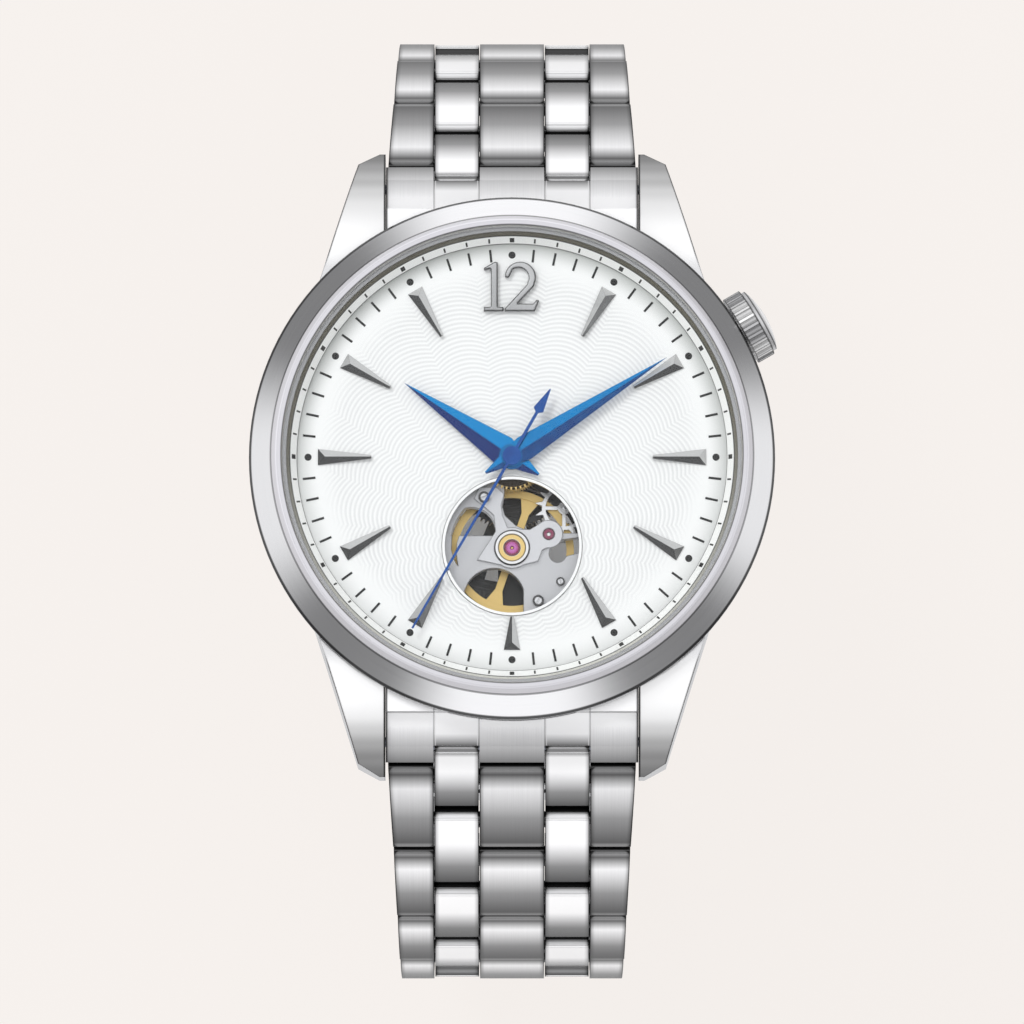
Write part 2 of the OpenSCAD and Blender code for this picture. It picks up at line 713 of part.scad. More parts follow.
// ---- motion work
module hour_wheel() color(gold) difference() {
  union() {
    gap_to(angle_of(minute_xy), hour_teeth) gear(hour_teeth, hour_size, 7.36, 7.52);
    disc(0.82, 7.34, 8.62);
  }
  discs([[0.53, 7.38, 12]]);
  disc(0.9, 7.0, 7.38);
}
module minute_wheel() color(gold) at_xy(minute_xy) {
  tooth_to(angle_of(-minute_xy)) difference() {
    gear(minute_teeth, minute_size, 7.0, 7.16);
    slab(6.9, 7.3) spoke_gaps(4, 0.75, 1.8, 0.35);
  }
  tooth_to(angle_of(-minute_xy))
    gear(minute_leaves, hour_size, 7.16, 7.62, pinion_addendum);
  disc(0.27, 6.5, 7.1);
}

// ---- hands, drawn to +Y and then turned
hour_hand_z = 8.62;
minute_hand_z = 8.95;
// [x, y]
second_tail = [[-0.12, 0], [0.12, 0], [0.12, -3.95], [0.43, -4.2], [0.04, -6.1], [-0.04, -6.1],
  [-0.43, -4.2], [-0.12, -3.95]];

// bar along +Y with a roof-shaped top
module ridge(length, half, height) rotate([-90, 0, 0]) slab(-4, length + 4)
  polygon([[-half, 0.3], [half, 0.3], [half, -height * 0.25], [0, -height],
    [-half, -height * 0.25]]);
// kite-shaped blade, widest at y = widest
module blade(length, half, widest, tail, height) intersection() {
  slab(0, 1) polygon([[0, length], [half, widest], [0.1, -tail], [-0.1, -tail],
    [-half, widest]]);
  ridge(length, half + 0.1, height);
}
module hour_hand() color(blue) rotate([0, 0, -hour_at]) difference() {
  union() {
    translate([0, 0, hour_hand_z])
      blade(hour_len, half = 1.2, widest = 0.85, tail = 2.55, height = 0.2);
    disc(1.02, 8.5, 8.82);
  }
  disc(0.82, 8, hour_hand_z);
  disc(0.56, 8, 12);
}
module minute_hand() color(blue) rotate([0, 0, -minute_at]) difference() {
  union() {
    translate([0, 0, minute_hand_z])
      blade(minute_len, half = 1.0, widest = 1.15, tail = 2.47, height = 0.18);
    disc(0.85, 8.86, 9.13);
  }
  disc(0.5, 8, 9.02);
  disc(0.27, 8, 12);
}
module seconds_hand() color(blue) rotate([0, 0, -second_at]) {
  slab(9.24, 9.36) {
    polygon([[-0.12, 0], [0.12, 0], [0.08, second_len], [-0.08, second_len]]);
    polygon(second_tail);
    circle(r = 0.74);
  }
  // hub
  difference() {
    disc(0.42, 9.2, 9.46);
    disc(0.2, 9.4, 9.6);
    disc(0.22, 9.0, 9.3);
  }
}

// ---- bracelet
// slope of each link below the horizontal, from the end link outward
slopes = [45.5, 57.3, 71.2, 84.3, 103, 121, 142];
link_lengths = [7.65, pitch, pitch, pitch, pitch, pitch, pitch];
function pivot(i) = i == 0 ? [22.0, 3.1]
  : pivot(i - 1) + link_lengths[i - 1] * [cos(slopes[i - 1]), -sin(slopes[i - 1])];
// [y, z] of the hinge at the start of each link, then the clasp hinge
pivots = [for (i = [0:7]) pivot(i)];
// half width of the bracelet at each pivot
half_widths = [9.78, 9.36, 9.08, 8.9, 8.75, 8.6, 8.45, 8.3];
// rows across the bracelet, as distances from its middle
middle_half = 2.55;
polished_in = middle_half + row_gap;
polished_out = 6.12;
side_in = polished_out + row_gap;
brushed_len = 8.3;
spring_bar_r = 0.75;
hinge_r = 0.5;

// side view of a block: domed top, chamfered bottom, rounded upper ends
module block_side(start, end) {
  chamfer_y = 0.5;
  chamfer_z = 0.55;
  crown_r = 26;
  corner_r = 0.35;
  difference() {
    intersection() {
      polygon([[start, -link_down + chamfer_z], [start + chamfer_y, -link_down],
        [end - chamfer_y, -link_down], [end, -link_down + chamfer_z],
        [end, link_up + 0.1], [start, link_up + 0.1]]);
      translate([(start + end) / 2, link_up - crown_r]) circle(r = crown_r, $fn = 360);
    }
    for (k = [0, 1]) translate([k == 0 ? start : end, link_up - 0.3 - corner_r])
      mirror([k, 0]) difference() {
        translate([-0.2, 0]) square([0.55, 1.2]);
        translate([corner_r, 0]) circle(r = corner_r, $fn = 48);
      }
  }
}
module block(inner, outer, start, end) x_prism(inner, outer) block_side(start, end);
// one link along +Y: two polished blocks set back, three brushed blocks ahead of them
module link(i) {
  length = link_lengths[i];
  brushed_end = length + 2.0;
  brushed_start = brushed_end - brushed_len;
  polished_start = i == 0 ? -0.5 : -1.75;
  polished_end = length - 2.15;
  near = half_widths[i];
  far = half_widths[i + 1];
  edge = far + 0.03;
  difference() {
    union() {
      // middle brushed block, then the side ones with their taper
      block(-middle_half, middle_half, brushed_start, brushed_end);
      both_sides() {
        intersection() {
          block(side_in, near + 0.5, brushed_start, brushed_end);
          slab(-3, 3) polygon([[side_in - 1, brushed_start - 1], [near, brushed_start - 1],
            [near, brushed_start], [edge, brushed_end], [edge, brushed_end + 1],
            [side_in - 1, brushed_end + 1]]);
        }
        block(polished_in, polished_out, polished_start, polished_end);
        // rounded end that swings on the spring bar
        if (i == 0) x_rod(1.3, polished_in, polished_out);
      }
      // rod that ties the blocks of this link
      x_bar(0.6, far - 0.6, (brushed_start + polished_end) / 2);
      // hinge pin for the next link
      x_bar(hinge_r, far - 0.4, length);
    }
    x_bar((i == 0 ? spring_bar_r : hinge_r) + fit, 12);
  }
}
module place_link(side, i) mirror([0, side == 12 ? 0 : 1, 0])
  translate([0, pivots[i][0], pivots[i][1]]) rotate([-slopes[i], 0, 0]) link(i);
module link_12_1() color(steel) place_link(12, 0);
module link_12_2() color(steel) place_link(12, 1);
module link_12_3() color(steel) place_link(12, 2);
module link_12_4() color(steel) place_link(12, 3);
module link_12_5() color(steel) place_link(12, 4);
module link_12_6() color(steel) place_link(12, 5);
module link_12_7() color(steel) place_link(12, 6);
module link_6_1() color(steel) place_link(6, 0);
module link_6_2() color(steel) place_link(6, 1);
module link_6_3() color(steel) place_link(6, 2);
module link_6_4() color(steel) place_link(6, 3);
module link_6_5() color(steel) place_link(6, 4);
module link_6_6() color(steel) place_link(6, 5);
module link_6_7() color(steel) place_link(6, 6);

// [y, z]
end_link_side = [[15, 1.3], [21.8, 1.3], [22.45, 1.95], [23.65, 3.3], [23.7, 3.75],
  [22.48, 4.86], [22.48, 7], [15, 7]];
// end link between the lugs, on the 12 side
module end_link() {
  notch = side_in - middle_half;
  y = pivots[0][0];
  z = pivots[0][1];
  difference() {
    x_prism(-9.96, 9.96) intersection() {
      polygon(end_link_side);
      union() {
        square([20, 6.85]);
        translate([17.6, -3.6]) circle(r = 9.75, $fn = 240);
      }
    }
    // case and bezel
    disc(20.62, -1, 7.02);
    disc(bezel_r + 0.1, 7.0, 12);
    // room for the rounded ends of the first link
    both_sides() {
      x_rod(1.6, middle_half, side_in, y, z);
      translate([middle_half, y - 1.6, 0]) cube([notch, 6, z]);
      translate([middle_half, 22.48, 0]) cube([notch, 6, 8]);
    }
    // spring-bar bore
    x_bar(0.78, 12, y, z);
  }
}
module end_link_12() color(steel) end_link();
module end_link_6() color(steel) mirror([0, 1, 0]) end_link();
module spring_bars() color(plate) for (side = [-1, 1]) {
  x_bar(spring_bar_r, 9.7, side * pivots[0][0], pivots[0][1]);
  x_bar(0.4, 10.9, side * pivots[0][0], pivots[0][1]);
}

// ---- folding clasp, drawn as sectors about an axis above it
// angles run from straight down towards 12; depths are outward from clasp_r
clasp_angle = 24;
clasp_r = pivots[7][0] / sin(clasp_angle);
clasp_z = pivots[7][1] + clasp_r * cos(clasp_angle);
clasp_half = half_widths[7];
hinge_angle = -18.6;
fold_angle = 16.6;
fold_depth = -0.35;
cover_pin_r = 0.45;
fold_pin_r = 0.4;
// half widths of the two blades
middle_blade_half = 4.4;
inner_blade_half = 5.6;
// depths of the inner blade's faces
inner_blade_in = -1.3;
inner_blade_out = -0.5;

module sector(inner, outer, from, to) intersection() {
  ring(outer, inner, $fn = 720);
  polygon([[0, 0], for (angle = [from, (from + to) / 2, to]) 80 * [sin(angle), -cos(angle)]]);
}
module strap(start, end, inner, outer, from, to) translate([0, 0, clasp_z])
  x_prism(start, end) sector(clasp_r + inner, clasp_r + outer, from, to);
module clasp_rod(radius, start, end, depth, angle) x_rod(radius, start, end,
  (clasp_r + depth) * sin(angle), clasp_z - (clasp_r + depth) * cos(angle));
module clasp_bar(radius, half, depth, angle) clasp_rod(radius, -half, half, depth, angle);

module clasp_cover() color(steel) difference() {
  union() {
    difference() {
      strap(-clasp_half, clasp_half, 0.5, 1.75, -21, 21.1);
      // room for the hinge eye of the middle blade
      clasp_bar(0.9, 4.5, 0, hinge_angle);
    }
    both_sides() {
      // side walls
      strap(7.2, clasp_half, -1.2, 0.6, -20.4, 20.4);
      // tongues onto the last link
      strap(polished_in, polished_out, 0.2, 1.7, 20.6, 24);
      x_rod(1.2, polished_in, polished_out, pivots[7][0], pivots[7][1]);
    }
    // hinge pin of the middle blade
    clasp_bar(cover_pin_r, 7.6, 0, hinge_angle);
  }
  // pin bore at the last link
  clasp_bar(hinge_r + fit, 10, 0, clasp_angle);
  // button holes
  clasp_bar(1.05, 12, 0.1, 0);
}
module clasp_middle_blade() color(steel) difference() {
  union() {
    strap(-middle_blade_half, middle_blade_half, -0.35, 0.35, hinge_angle, fold_angle - 1.6);
    clasp_bar(0.8, middle_blade_half, 0, hinge_angle);
    // eye for the inner blade's pin
    strap(-middle_blade_half, middle_blade_half, -0.35, 0.35, fold_angle - 1.8, fold_angle);
    clasp_bar(0.75, 5.6, fold_depth, fold_angle);
  }
  clasp_bar(cover_pin_r + fit, 10, 0, hinge_angle);
  clasp_bar(fold_pin_r + fit, 10, fold_depth, fold_angle);
}
module clasp_inner_blade() color(steel) {
  difference() {
    union() {
      strap(-inner_blade_half, inner_blade_half, inner_blade_in, inner_blade_out, -21.2,
        fold_angle - 1.1);
      both_sides() {
        // cheeks round the fold hinge
        strap(5.7, 6.7, inner_blade_in, -0.1, fold_angle - 2, fold_angle);
        strap(5.3, 6.7, inner_blade_in, inner_blade_out, fold_angle - 4, fold_angle - 1.1);
        clasp_rod(0.75, 5.7, 6.7, fold_depth, fold_angle);
        // tongues towards the last link of the 6 side
        strap(2.9, 5.5, inner_blade_in, inner_blade_out, -23.0, -21);
      }
    }
    // room for the eyes of the middle blade
    clasp_bar(0.9, 4.5, 0, hinge_angle);
    clasp_bar(0.85, 5.65, fold_depth, fold_angle);
  }
  clasp_bar(fold_pin_r, 6.5, fold_depth, fold_angle);
}
module button() {
  clasp_rod(1.0, 7.0, 8.95, 0.1, 0);
  clasp_rod(0.85, 8.9, 9.1, 0.1, 0);
}
module clasp_button_right() color(steel) button();
module clasp_button_left() color(steel) mirror([1, 0, 0]) button();

case_middle();
bezel();
crystal();
crystal_gasket();
rehaut_ring();
dial();
hour_markers();
movement_holder();
case_back();
case_back_window();
crown();
winding_stem();
winding_pinion();
main_plate();
heart_bridge();
heart_setting();
train_bridge();
balance_cock();
jewels();
bridge_screws();
barrel();
mainspring();
ratchet_wheel();
reduction_wheel();
rotor_stud();
rotor();
centre_wheel();
third_wheel();
fourth_wheel();
escape_wheel();
pallet_fork();
balance_wheel();
hairspring();
hour_wheel();
minute_wheel();
hour_hand();
minute_hand();
seconds_hand();
end_link_12();
end_link_6();
spring_bars();
link_12_1();
link_12_2();
link_12_3();
link_12_4();
link_12_5();
link_12_6();
link_12_7();
link_6_1();
link_6_2();
link_6_3();
link_6_4();
link_6_5();
link_6_6();
link_6_7();
clasp_cover();
clasp_middle_blade();
clasp_inner_blade();
clasp_button_right();
clasp_button_left();
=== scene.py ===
"""Looks for an open-heart wristwatch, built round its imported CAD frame.

The watch lies dial up, its axis on Z through the origin and 12 o'clock towards +Y. The
bracelet falls away below the dial at both ends of Y. Materials are written in millimetres.
"""

import math

import bpy
from mathutils import Matrix, Vector


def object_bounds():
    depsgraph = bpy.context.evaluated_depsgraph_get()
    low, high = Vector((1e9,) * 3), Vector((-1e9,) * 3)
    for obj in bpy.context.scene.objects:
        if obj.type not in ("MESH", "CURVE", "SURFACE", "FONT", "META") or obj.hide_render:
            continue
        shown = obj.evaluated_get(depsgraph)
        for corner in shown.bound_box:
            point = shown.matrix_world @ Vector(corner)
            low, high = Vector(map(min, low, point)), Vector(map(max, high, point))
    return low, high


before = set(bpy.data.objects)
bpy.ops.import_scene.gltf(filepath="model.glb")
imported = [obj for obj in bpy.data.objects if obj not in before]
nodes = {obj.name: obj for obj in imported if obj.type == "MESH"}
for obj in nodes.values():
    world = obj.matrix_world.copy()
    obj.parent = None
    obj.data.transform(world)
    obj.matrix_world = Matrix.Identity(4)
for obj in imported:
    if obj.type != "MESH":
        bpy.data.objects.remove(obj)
cad_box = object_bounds()

MM = 0.001
HEART_DROP = 7.06  # the open heart's centre lies this far below the dial's centre
HEART = (0, -HEART_DROP)
PAPER = (0.921, 0.878, 0.847)  # background colour


# ---------------------------------------------------------------- node helpers
class Value:
    """A node output that takes part in arithmetic: each operation adds a node."""

    def __init__(self, net, socket):
        self.net = net
        self.socket = socket

    def output(self, key):
        """another output of the same node"""
        return Value(self.net, self.socket.node.outputs[key])

    def __add__(self, other):
        return self.net.math("ADD", self, other)

    def __radd__(self, other):
        return self.net.math("ADD", other, self)

    def __sub__(self, other):
        return self.net.math("SUBTRACT", self, other)

    def __rsub__(self, other):
        return self.net.math("SUBTRACT", other, self)

    def __mul__(self, other):
        return self.net.math("MULTIPLY", self, other)

    def __truediv__(self, other):
        return self.net.math("DIVIDE", self, other)

    def __abs__(self):
        return self.net.math("ABSOLUTE", self)

    def sin(self):
        return self.net.math("SINE", self)

    def cos(self):
        return self.net.math("COSINE", self)

    def scale_add(self, scale, offset):
        return self.net.math("MULTIPLY_ADD", self, scale, offset)

    def phase(self, count, offset):
        """-0.5 to 0.5, repeated count times over a full turn"""
        return self.net.math("FRACT", self.scale_add(count / math.tau, offset)) - 0.5

    def step(self, at, to, start=0.0, end=1.0, smooth=True):
        """start on the near side of `at`, end beyond `to`, eased between; `to` may be lower"""
        if at > to:
            at, to, start, end = to, at, end, start
        inputs = {"Value": self, "From Min": at, "From Max": to, "To Min": start, "To Max": end}
        return self.net.node("MapRange", inputs,
                             interpolation_type="SMOOTHSTEP" if smooth else "LINEAR")

    def band(self, low, high, soft):
        """1 between low and high, with edges that fade over `soft` to either side"""
        return (self.step(low - soft, low + soft)
                * self.step(high - soft, high + soft, start=1.0, end=0.0))


class Net:
    """The node tree of a material or world. Lengths are in millimetres."""

    def __init__(self, owner):
        owner.use_nodes = True
        self.owner = owner
        self.tree = owner.node_tree
        self.tree.nodes.clear()

    def node(self, kind, inputs=None, out=0, **settings):
        """adds a node, fills its inputs and returns one of its outputs"""
        node = self.tree.nodes.new("ShaderNode" + kind)
        for name, value in settings.items():
            setattr(node, name, value)
        for key, value in (inputs or {}).items():
            self.put(node.inputs[key], value)
        return Value(self, node.outputs[out])

    def put(self, socket, value):
        if isinstance(value, Value):
            self.tree.links.new(value.socket, socket)
        elif isinstance(value, tuple):
            alpha = (1.0,) if socket.type == "RGBA" and len(value) == 3 else ()
            socket.default_value = value + alpha
        else:
            socket.default_value = value

    def math(self, operation, *operands):
        return self.node("Math", dict(enumerate(operands)), operation=operation)

    def max(self, first, second):
        return self.math("MAXIMUM", first, second)

    def min(self, first, second):
        return self.math("MINIMUM", first, second)

    def angle(self, opposite, adjacent):
        return self.math("ARCTAN2", opposite, adjacent)

    def hyp(self, a, b):
        return self.math("SQRT", a * a + b * b)

    def mix(self, factor, a, b):
        """blends colours"""
        return self.node("Mix", {0: factor, 6: a, 7: b}, out=2, data_type="RGBA")

    def lerp(self, factor, a, b):
        """blends numbers"""
        return self.node("Mix", {0: factor, 2: a, 3: b}, data_type="FLOAT")

    def tint(self, colour, factor):
        """colour times a number"""
        return self.node("VectorMath", {0: colour, 3: factor}, operation="SCALE")

    def times(self, a, b):
        """colour times colour"""
        return self.node("VectorMath", {0: a, 1: b}, operation="MULTIPLY")

    def ramp(self, position, stops, interpolation="LINEAR"):
        """stops are (position, grey or colour)"""
        value = self.node("ValToRGB", {0: position})
        ramp = value.socket.node.color_ramp
        ramp.interpolation = interpolation
        while len(ramp.elements) < len(stops):
            ramp.elements.new(0.5)
        for element, (place, shade) in zip(ramp.elements, stops):
            element.position = place
            element.color = (*shade, 1) if isinstance(shade, tuple) else (shade,) * 3 + (1,)
        return value

    def split(self, vector):
        first = self.node("SeparateXYZ", {0: vector})
        return [first.output(axis) for axis in range(3)]

    def join(self, x, y, z):
        return self.node("CombineXYZ", {0: x, 1: y, 2: z})

    def noise(self, x, y, z, scale=1.0, detail=2.0, rough=0.5):
        return self.node("TexNoise", {"Vector": self.join(x, y, z), "Scale": scale,
                                      "Detail": detail, "Roughness": rough})

    def mm(self, centre=(0.0, 0.0)):
        """position in millimetres, relative to a centre in plan"""
        axes = self.split(self.node("TexCoord", out="Object"))
        return [axis.scale_add(1000.0, -offset) for axis, offset in zip(axes, (*centre, 0.0))]

    def normal(self):
        return self.split(self.node("NewGeometry", out="Normal"))

    def own_normal(self):
        """surface direction in the piece's own frame, so that a moved link keeps its look"""
        return self.split(self.node(
            "VectorTransform", {0: self.node("NewGeometry", out="Normal")},
            vector_type="NORMAL", convert_from="WORLD", convert_to="OBJECT"))

    def edge(self, radius, samples=4):
        """normal with its edges rounded"""
        return self.node("Bevel", {"Radius": radius * MM}, samples=samples)

    def bump(self, height, depth, strength, edge=None):
        """normal raised by height, over edges rounded to the radius `edge`"""
        inputs = {"Strength": strength, "Distance": depth * MM, "Height": height}
        if edge is not None:
            inputs["Normal"] = self.edge(edge)
        return self.node("Bump", inputs)

    def outline(self, radius, samples=4):
        """1 close to an edge of the piece, 0 on open faces; it marks where edges get painted shade
        """
        facing = {0: self.edge(radius, samples), 1: self.node("NewGeometry", out="True Normal")}
        agreement = self.node("VectorMath", facing, out="Value", operation="DOT_PRODUCT")
        return agreement.step(0.90, 0.995, start=1.0, end=0.0)

    def border(self, width, low=0.72, high=0.96):
        """1 close to the border of a flat face, measured from inside the piece; it marks where
        borders get painted shade
        """
        open_part = self.node("AmbientOcclusion", {"Distance": width * MM}, out="AO",
                              inside=True, only_local=True, samples=8)
        return open_part.step(low, high, start=1.0, end=0.0)

    def out(self, shader, kind="OutputMaterial"):
        output = self.tree.nodes.new("ShaderNode" + kind)
        self.put(output.inputs[0], shader)
        return self.owner

    def surface(self, colour, metallic, rough, normal=None, **more):
        """ends the tree in a principled surface and returns the material"""
        inputs = {"Base Color": colour, "Metallic": metallic, "Roughness": rough}
        if normal is not None:
            inputs["Normal"] = normal
        inputs.update({key.replace("_", " "): value for key, value in more.items()})
        return self.out(self.node("BsdfPrincipled", inputs))


def material(name):
    return Net(bpy.data.materials.new(name))


def scaled(colour, factor):
    return tuple(part * factor for part in colour)


# ---------------------------------------------------------------- shared patterns, 0 to 1
def worn(net, x, y, z, scale=0.35):
    """slow cloudy variation"""
    return net.noise(x, y, z, scale=scale, detail=3.0, rough=0.55)


def scratches(net, x, y, z):
    """sparse hair scratches in two directions"""
    shift = 0.0  # moves the pattern along X
    layers = []
    for stretch_x, stretch_y, stretch_z in ((0.35, 4.0, 0.35), (3.7, 0.3, 3.1)):
        streak = net.noise((net.math("ADD", x, shift)) * stretch_x, y * stretch_y,
                           z * stretch_z, scale=2.0, detail=2.0, rough=0.6)
        layers.append(streak.step(0.66, 0.74))
    return net.max(*layers)


def hairline(net, across, along, other=0.0, fine=9.0):
    """brushing: fine lines that run along one direction"""
    coarse = net.noise(across * fine, along * 0.09, other, detail=4.0, rough=0.62)
    thin = net.noise(across * (fine * 2.7), along * 0.22, net.math("ADD", other, 7.3),
                     detail=2.0, rough=0.6)
    return coarse * 0.6 + thin * 0.4


def sun_facing(net, x, y, z, ripple):
    """how far a face turns to the light (mostly towards 12 o'clock), and the cloud on it"""
    normal_x, normal_y, _ = net.normal()
    facing = normal_x * 0.42 + normal_y * 0.9
    cloud = net.noise(x, y, z, scale=1.3)
    return facing + (cloud - 0.5) * ripple, cloud


# ---------------------------------------------------------------- general materials
def polished(name, colour=(0.80, 0.80, 0.815), rough=0.07, edge=0.06):
    net = material(name)
    x, y, z = net.mm()
    wear = worn(net, x, y, z)
    return net.surface(
        colour=net.mix(wear, colour, scaled(colour, 0.95)), metallic=1.0,
        rough=rough + wear * 0.05 + scratches(net, x, y, z) * 0.06,
        normal=net.bump(net.noise(x, y, z, scale=0.9), depth=0.012, strength=0.15, edge=edge))


def satin(name, colour=(0.72, 0.72, 0.735), along="x", rough=0.27):
    """straight brushing whose lines run along X or Y"""
    net = material(name)
    x, y, z = net.mm()
    if along == "x":
        brush = hairline(net, y + z * 0.7, x)
    else:
        brush = hairline(net, x + z * 0.0, y)
    steel = net.mix(brush, scaled(colour, 0.86), scaled(colour, 1.1))
    return net.surface(
        colour=net.mix(worn(net, x, y, z) * 0.3, steel, scaled(colour, 0.85)), metallic=1.0,
        rough=rough - 0.06 + brush * 0.16,
        normal=net.bump(brush, depth=0.01, strength=0.35, edge=0.06))


def faceted(name, light, dark, rough, metallic):
    """polished facets: those turned towards the light read bright, the others deep"""
    net = material(name)
    facing, cloud = sun_facing(net, *net.mm(), ripple=0.1)
    return net.surface(colour=net.mix(facing.step(-0.12, 0.12), dark, light),
                       metallic=metallic, rough=rough + cloud * 0.06, normal=net.edge(0.02))


def gilt(name, centre=(0, 0), shaded_top=False, teeth=None, silver=None):
    """gilt turned round a centre, with painted shade along its edges; painted shade on top, a
    painted shadow inside radius `teeth`, or silvered outside radius `silver`, if asked"""
    colour = (0.86, 0.62, 0.24)
    net = material(name)
    x, y, z = net.mm(centre)
    turned = net.noise(net.hyp(x, y) * 9.0, 0.0, z * 0.5, detail=3.0, rough=0.6)
    wear = worn(net, x, y, z, scale=0.8)
    metal = net.mix(turned, scaled(colour, 0.86), scaled(colour, 1.12))
    metal = net.mix(wear * 0.25, metal, scaled(colour, 0.75))
    # painted shade along the edges
    metal = net.tint(metal, 1.0 - net.outline(0.03) * 0.45)
    metallic = 0.8
    if shaded_top:
        # painted shade on the faces turned up towards the dial
        dark = net.mix(turned, (0.03, 0.03, 0.03), (0.055, 0.055, 0.055))
        metal = net.mix(net.normal()[2].step(0.5, 0.7), metal, dark)
        metallic = 0.3
    if teeth:
        # painted shadow: the top of the wheel inside radius `teeth` goes dark brown
        body = net.hyp(x, y).step(teeth, teeth - 0.04) * net.normal()[2].step(0.5, 0.7)
        dark = net.mix(turned, (0.025, 0.02, 0.014), (0.05, 0.04, 0.028))
        metal = net.mix(body, metal, dark)
    if silver:
        ring = net.hyp(x, y).step(silver - 0.02, silver + 0.02)
        metal = net.mix(ring, metal, net.mix(turned, (0.80, 0.79, 0.81), (0.92, 0.92, 0.93)))
        # dark line at the join, black outside, and a painted highlight ring of pale gold in the
        # middle
        join = net.hyp(x, y).band(silver - 0.04, silver + 0.03, soft=0.02)
        metal = net.mix(join, metal, (0.16, 0.12, 0.06))
        metal = net.mix(net.hyp(x, y).step(1.29, 1.33), metal, (0.02, 0.02, 0.02))
        metal = net.mix(net.hyp(x, y).step(0.74, 0.70), metal, (0.9, 0.82, 0.62))
        metallic = 0.35
    return net.surface(colour=metal, metallic=metallic, rough=0.3 + turned * 0.12,
                       normal=net.bump(turned, depth=0.006, strength=0.3, edge=0.025))


def nickel(name, colour, striped=False):
    """grained nickel: painted shade along its edges, or striped on its back, with painted shade
    and glints on its dial side
    """
    net = material(name)
    x, y, z = net.mm()
    grain = net.noise(x, y, z, scale=9.0, detail=5.0, rough=0.7)
    fine = net.noise(x, y, z, scale=28.0, detail=3.0, rough=0.7)
    metal = net.mix(grain, scaled(colour, 0.84), scaled(colour, 1.12))
    height = grain * 0.6 + fine * 0.4
    if striped:
        normal_z = net.normal()[2]
        back = normal_z.step(-0.6, -0.8)
        # slanted stripes, 0.55 of them to the millimetre
        stripe = net.math("FRACT", (x * 0.5 + y * 0.866) * 0.55)
        wave = abs(stripe - 0.5)
        metal = net.mix(back * (wave * 1.2), metal, scaled(colour, 1.25))
        height = net.lerp(back, height, wave * 4.0)
        # painted glints and painted shade on the faces turned towards the dial
        glint = net.noise(x * 0.6, y * 0.6, z, scale=0.8, detail=1.0).step(0.52, 0.72)
        dark = net.mix(glint * 0.5, (0.028, 0.028, 0.029), (0.13, 0.13, 0.14))
        metal = net.mix(normal_z.step(0.6, 0.8), metal, dark)
    else:
        # painted shade along the edges
        metal = net.tint(metal, 1.0 - net.outline(0.12, samples=6) * 0.85)
    return net.surface(colour=metal, metallic=0.3 if striped else 0.5, rough=0.3 + grain * 0.12,
                       normal=net.bump(height, depth=0.008, strength=0.4, edge=0.04))


def plastic(name, colour):
    net = material(name)
    grain = net.noise(*net.mm(), scale=3.0, detail=4.0, rough=0.6)
    return net.surface(colour=net.mix(grain, colour, scaled(colour, 0.82)), metallic=0.0,
                       rough=0.5 + grain * 0.15,
                       normal=net.bump(grain, depth=0.02, strength=0.3))


def rotor_metal(name):
    """turned rings inside, sunburst on the rim, painted shade and glints on top"""
    net = material(name)
    x, y, z = net.mm()
    radius = net.hyp(x, y)
    turn = net.angle(y, x)
    ring = net.noise(radius * 8.0, turn.cos() * 1.2, turn.sin() * 1.2, detail=4.0, rough=0.6)
    rays = net.noise(turn.cos() * 38.0, turn.sin() * 38.0, radius * 0.05, detail=3.0, rough=0.6)
    brush = net.lerp(radius.step(10.2, 10.35), ring, rays)
    colour = net.mix(brush, (0.56, 0.55, 0.54), (0.82, 0.81, 0.80))
    # painted shade on top, with painted glints
    top = net.normal()[2].step(0.5, 0.7)
    glint = net.noise(x * 0.5, y * 0.5, z, detail=1.0).step(0.5, 0.75)
    dark = net.mix(glint * 0.5, (0.028, 0.028, 0.028), (0.14, 0.14, 0.15))
    return net.surface(colour=net.mix(top, colour, dark), metallic=net.lerp(top, 0.95, 0.35),
                       rough=0.2 + brush * 0.14,
                       normal=net.bump(brush, depth=0.01, strength=0.4, edge=0.05))


def clear(name):
    """crystal: transparent, with a faint reflection that only the camera sees"""
    net = material(name)
    smudge = net.noise(*net.mm(), scale=0.25, detail=3.0)
    through = net.node("BsdfTransparent", {0: (0.985, 0.99, 0.99)})
    gloss = net.node("BsdfGlossy", {"Color": (1, 1, 1), "Roughness": 0.02 + smudge * 0.02})
    fresnel = net.node("LayerWeight", {"Blend": 0.32}, out="Fresnel")
    seen = net.node("LightPath", out="Is Camera Ray")
    amount = net.max((fresnel - 0.012) * 0.5, 0.0) * seen
    return net.out(net.node("MixShader", {0: amount, 1: through, 2: gloss}))


# ---------------------------------------------------------------- bracelet
# Seven links a side, counted from the case, as the CAD lays them out.
LINK_FALL = [45.5, 57.3, 71.2, 84.3, 103, 121, 142]  # degrees below the horizontal
LINK_LENGTH = [7.65] + [8.7] * 6
HALF_WIDTH = [9.78, 9.36, 9.08, 8.9, 8.75, 8.6, 8.45, 8.3]  # at each joint
PIVOTS = [(22.0, 3.1)]  # (outward, height) of each link's inner joint
for fall, length in zip(LINK_FALL, LINK_LENGTH):
    pivot_y, pivot_z = PIVOTS[-1]
    PIVOTS.append((pivot_y + length * math.cos(math.radians(fall)),
                   pivot_z - length * math.sin(math.radians(fall))))

BLOCK = 8.3  # length of a brushed block
BLOCK_NEAR = 6.3  # from a link's far joint back to the near end of its brushed blocks
BLOCK_MIDDLE = 2.15  # the same to their middle, where the polished blocks end
POLISHED = {"low": 2.59, "high": 6.16, "soft": 0.02}  # polished strips, distance from x = 0

# Sheens are (share of the way, brightness). A brushed block from near end to far end: joint,
# thin bright edge, sheen, fade, joint.
BRUSHED_SHEEN = [(0.0, 0.01), (0.04, 0.3), (0.09, 0.1), (0.25, 0.85),
                 (0.6, 0.3), (0.92, 0.1), (0.96, 0.3), (1.0, 0.01)]
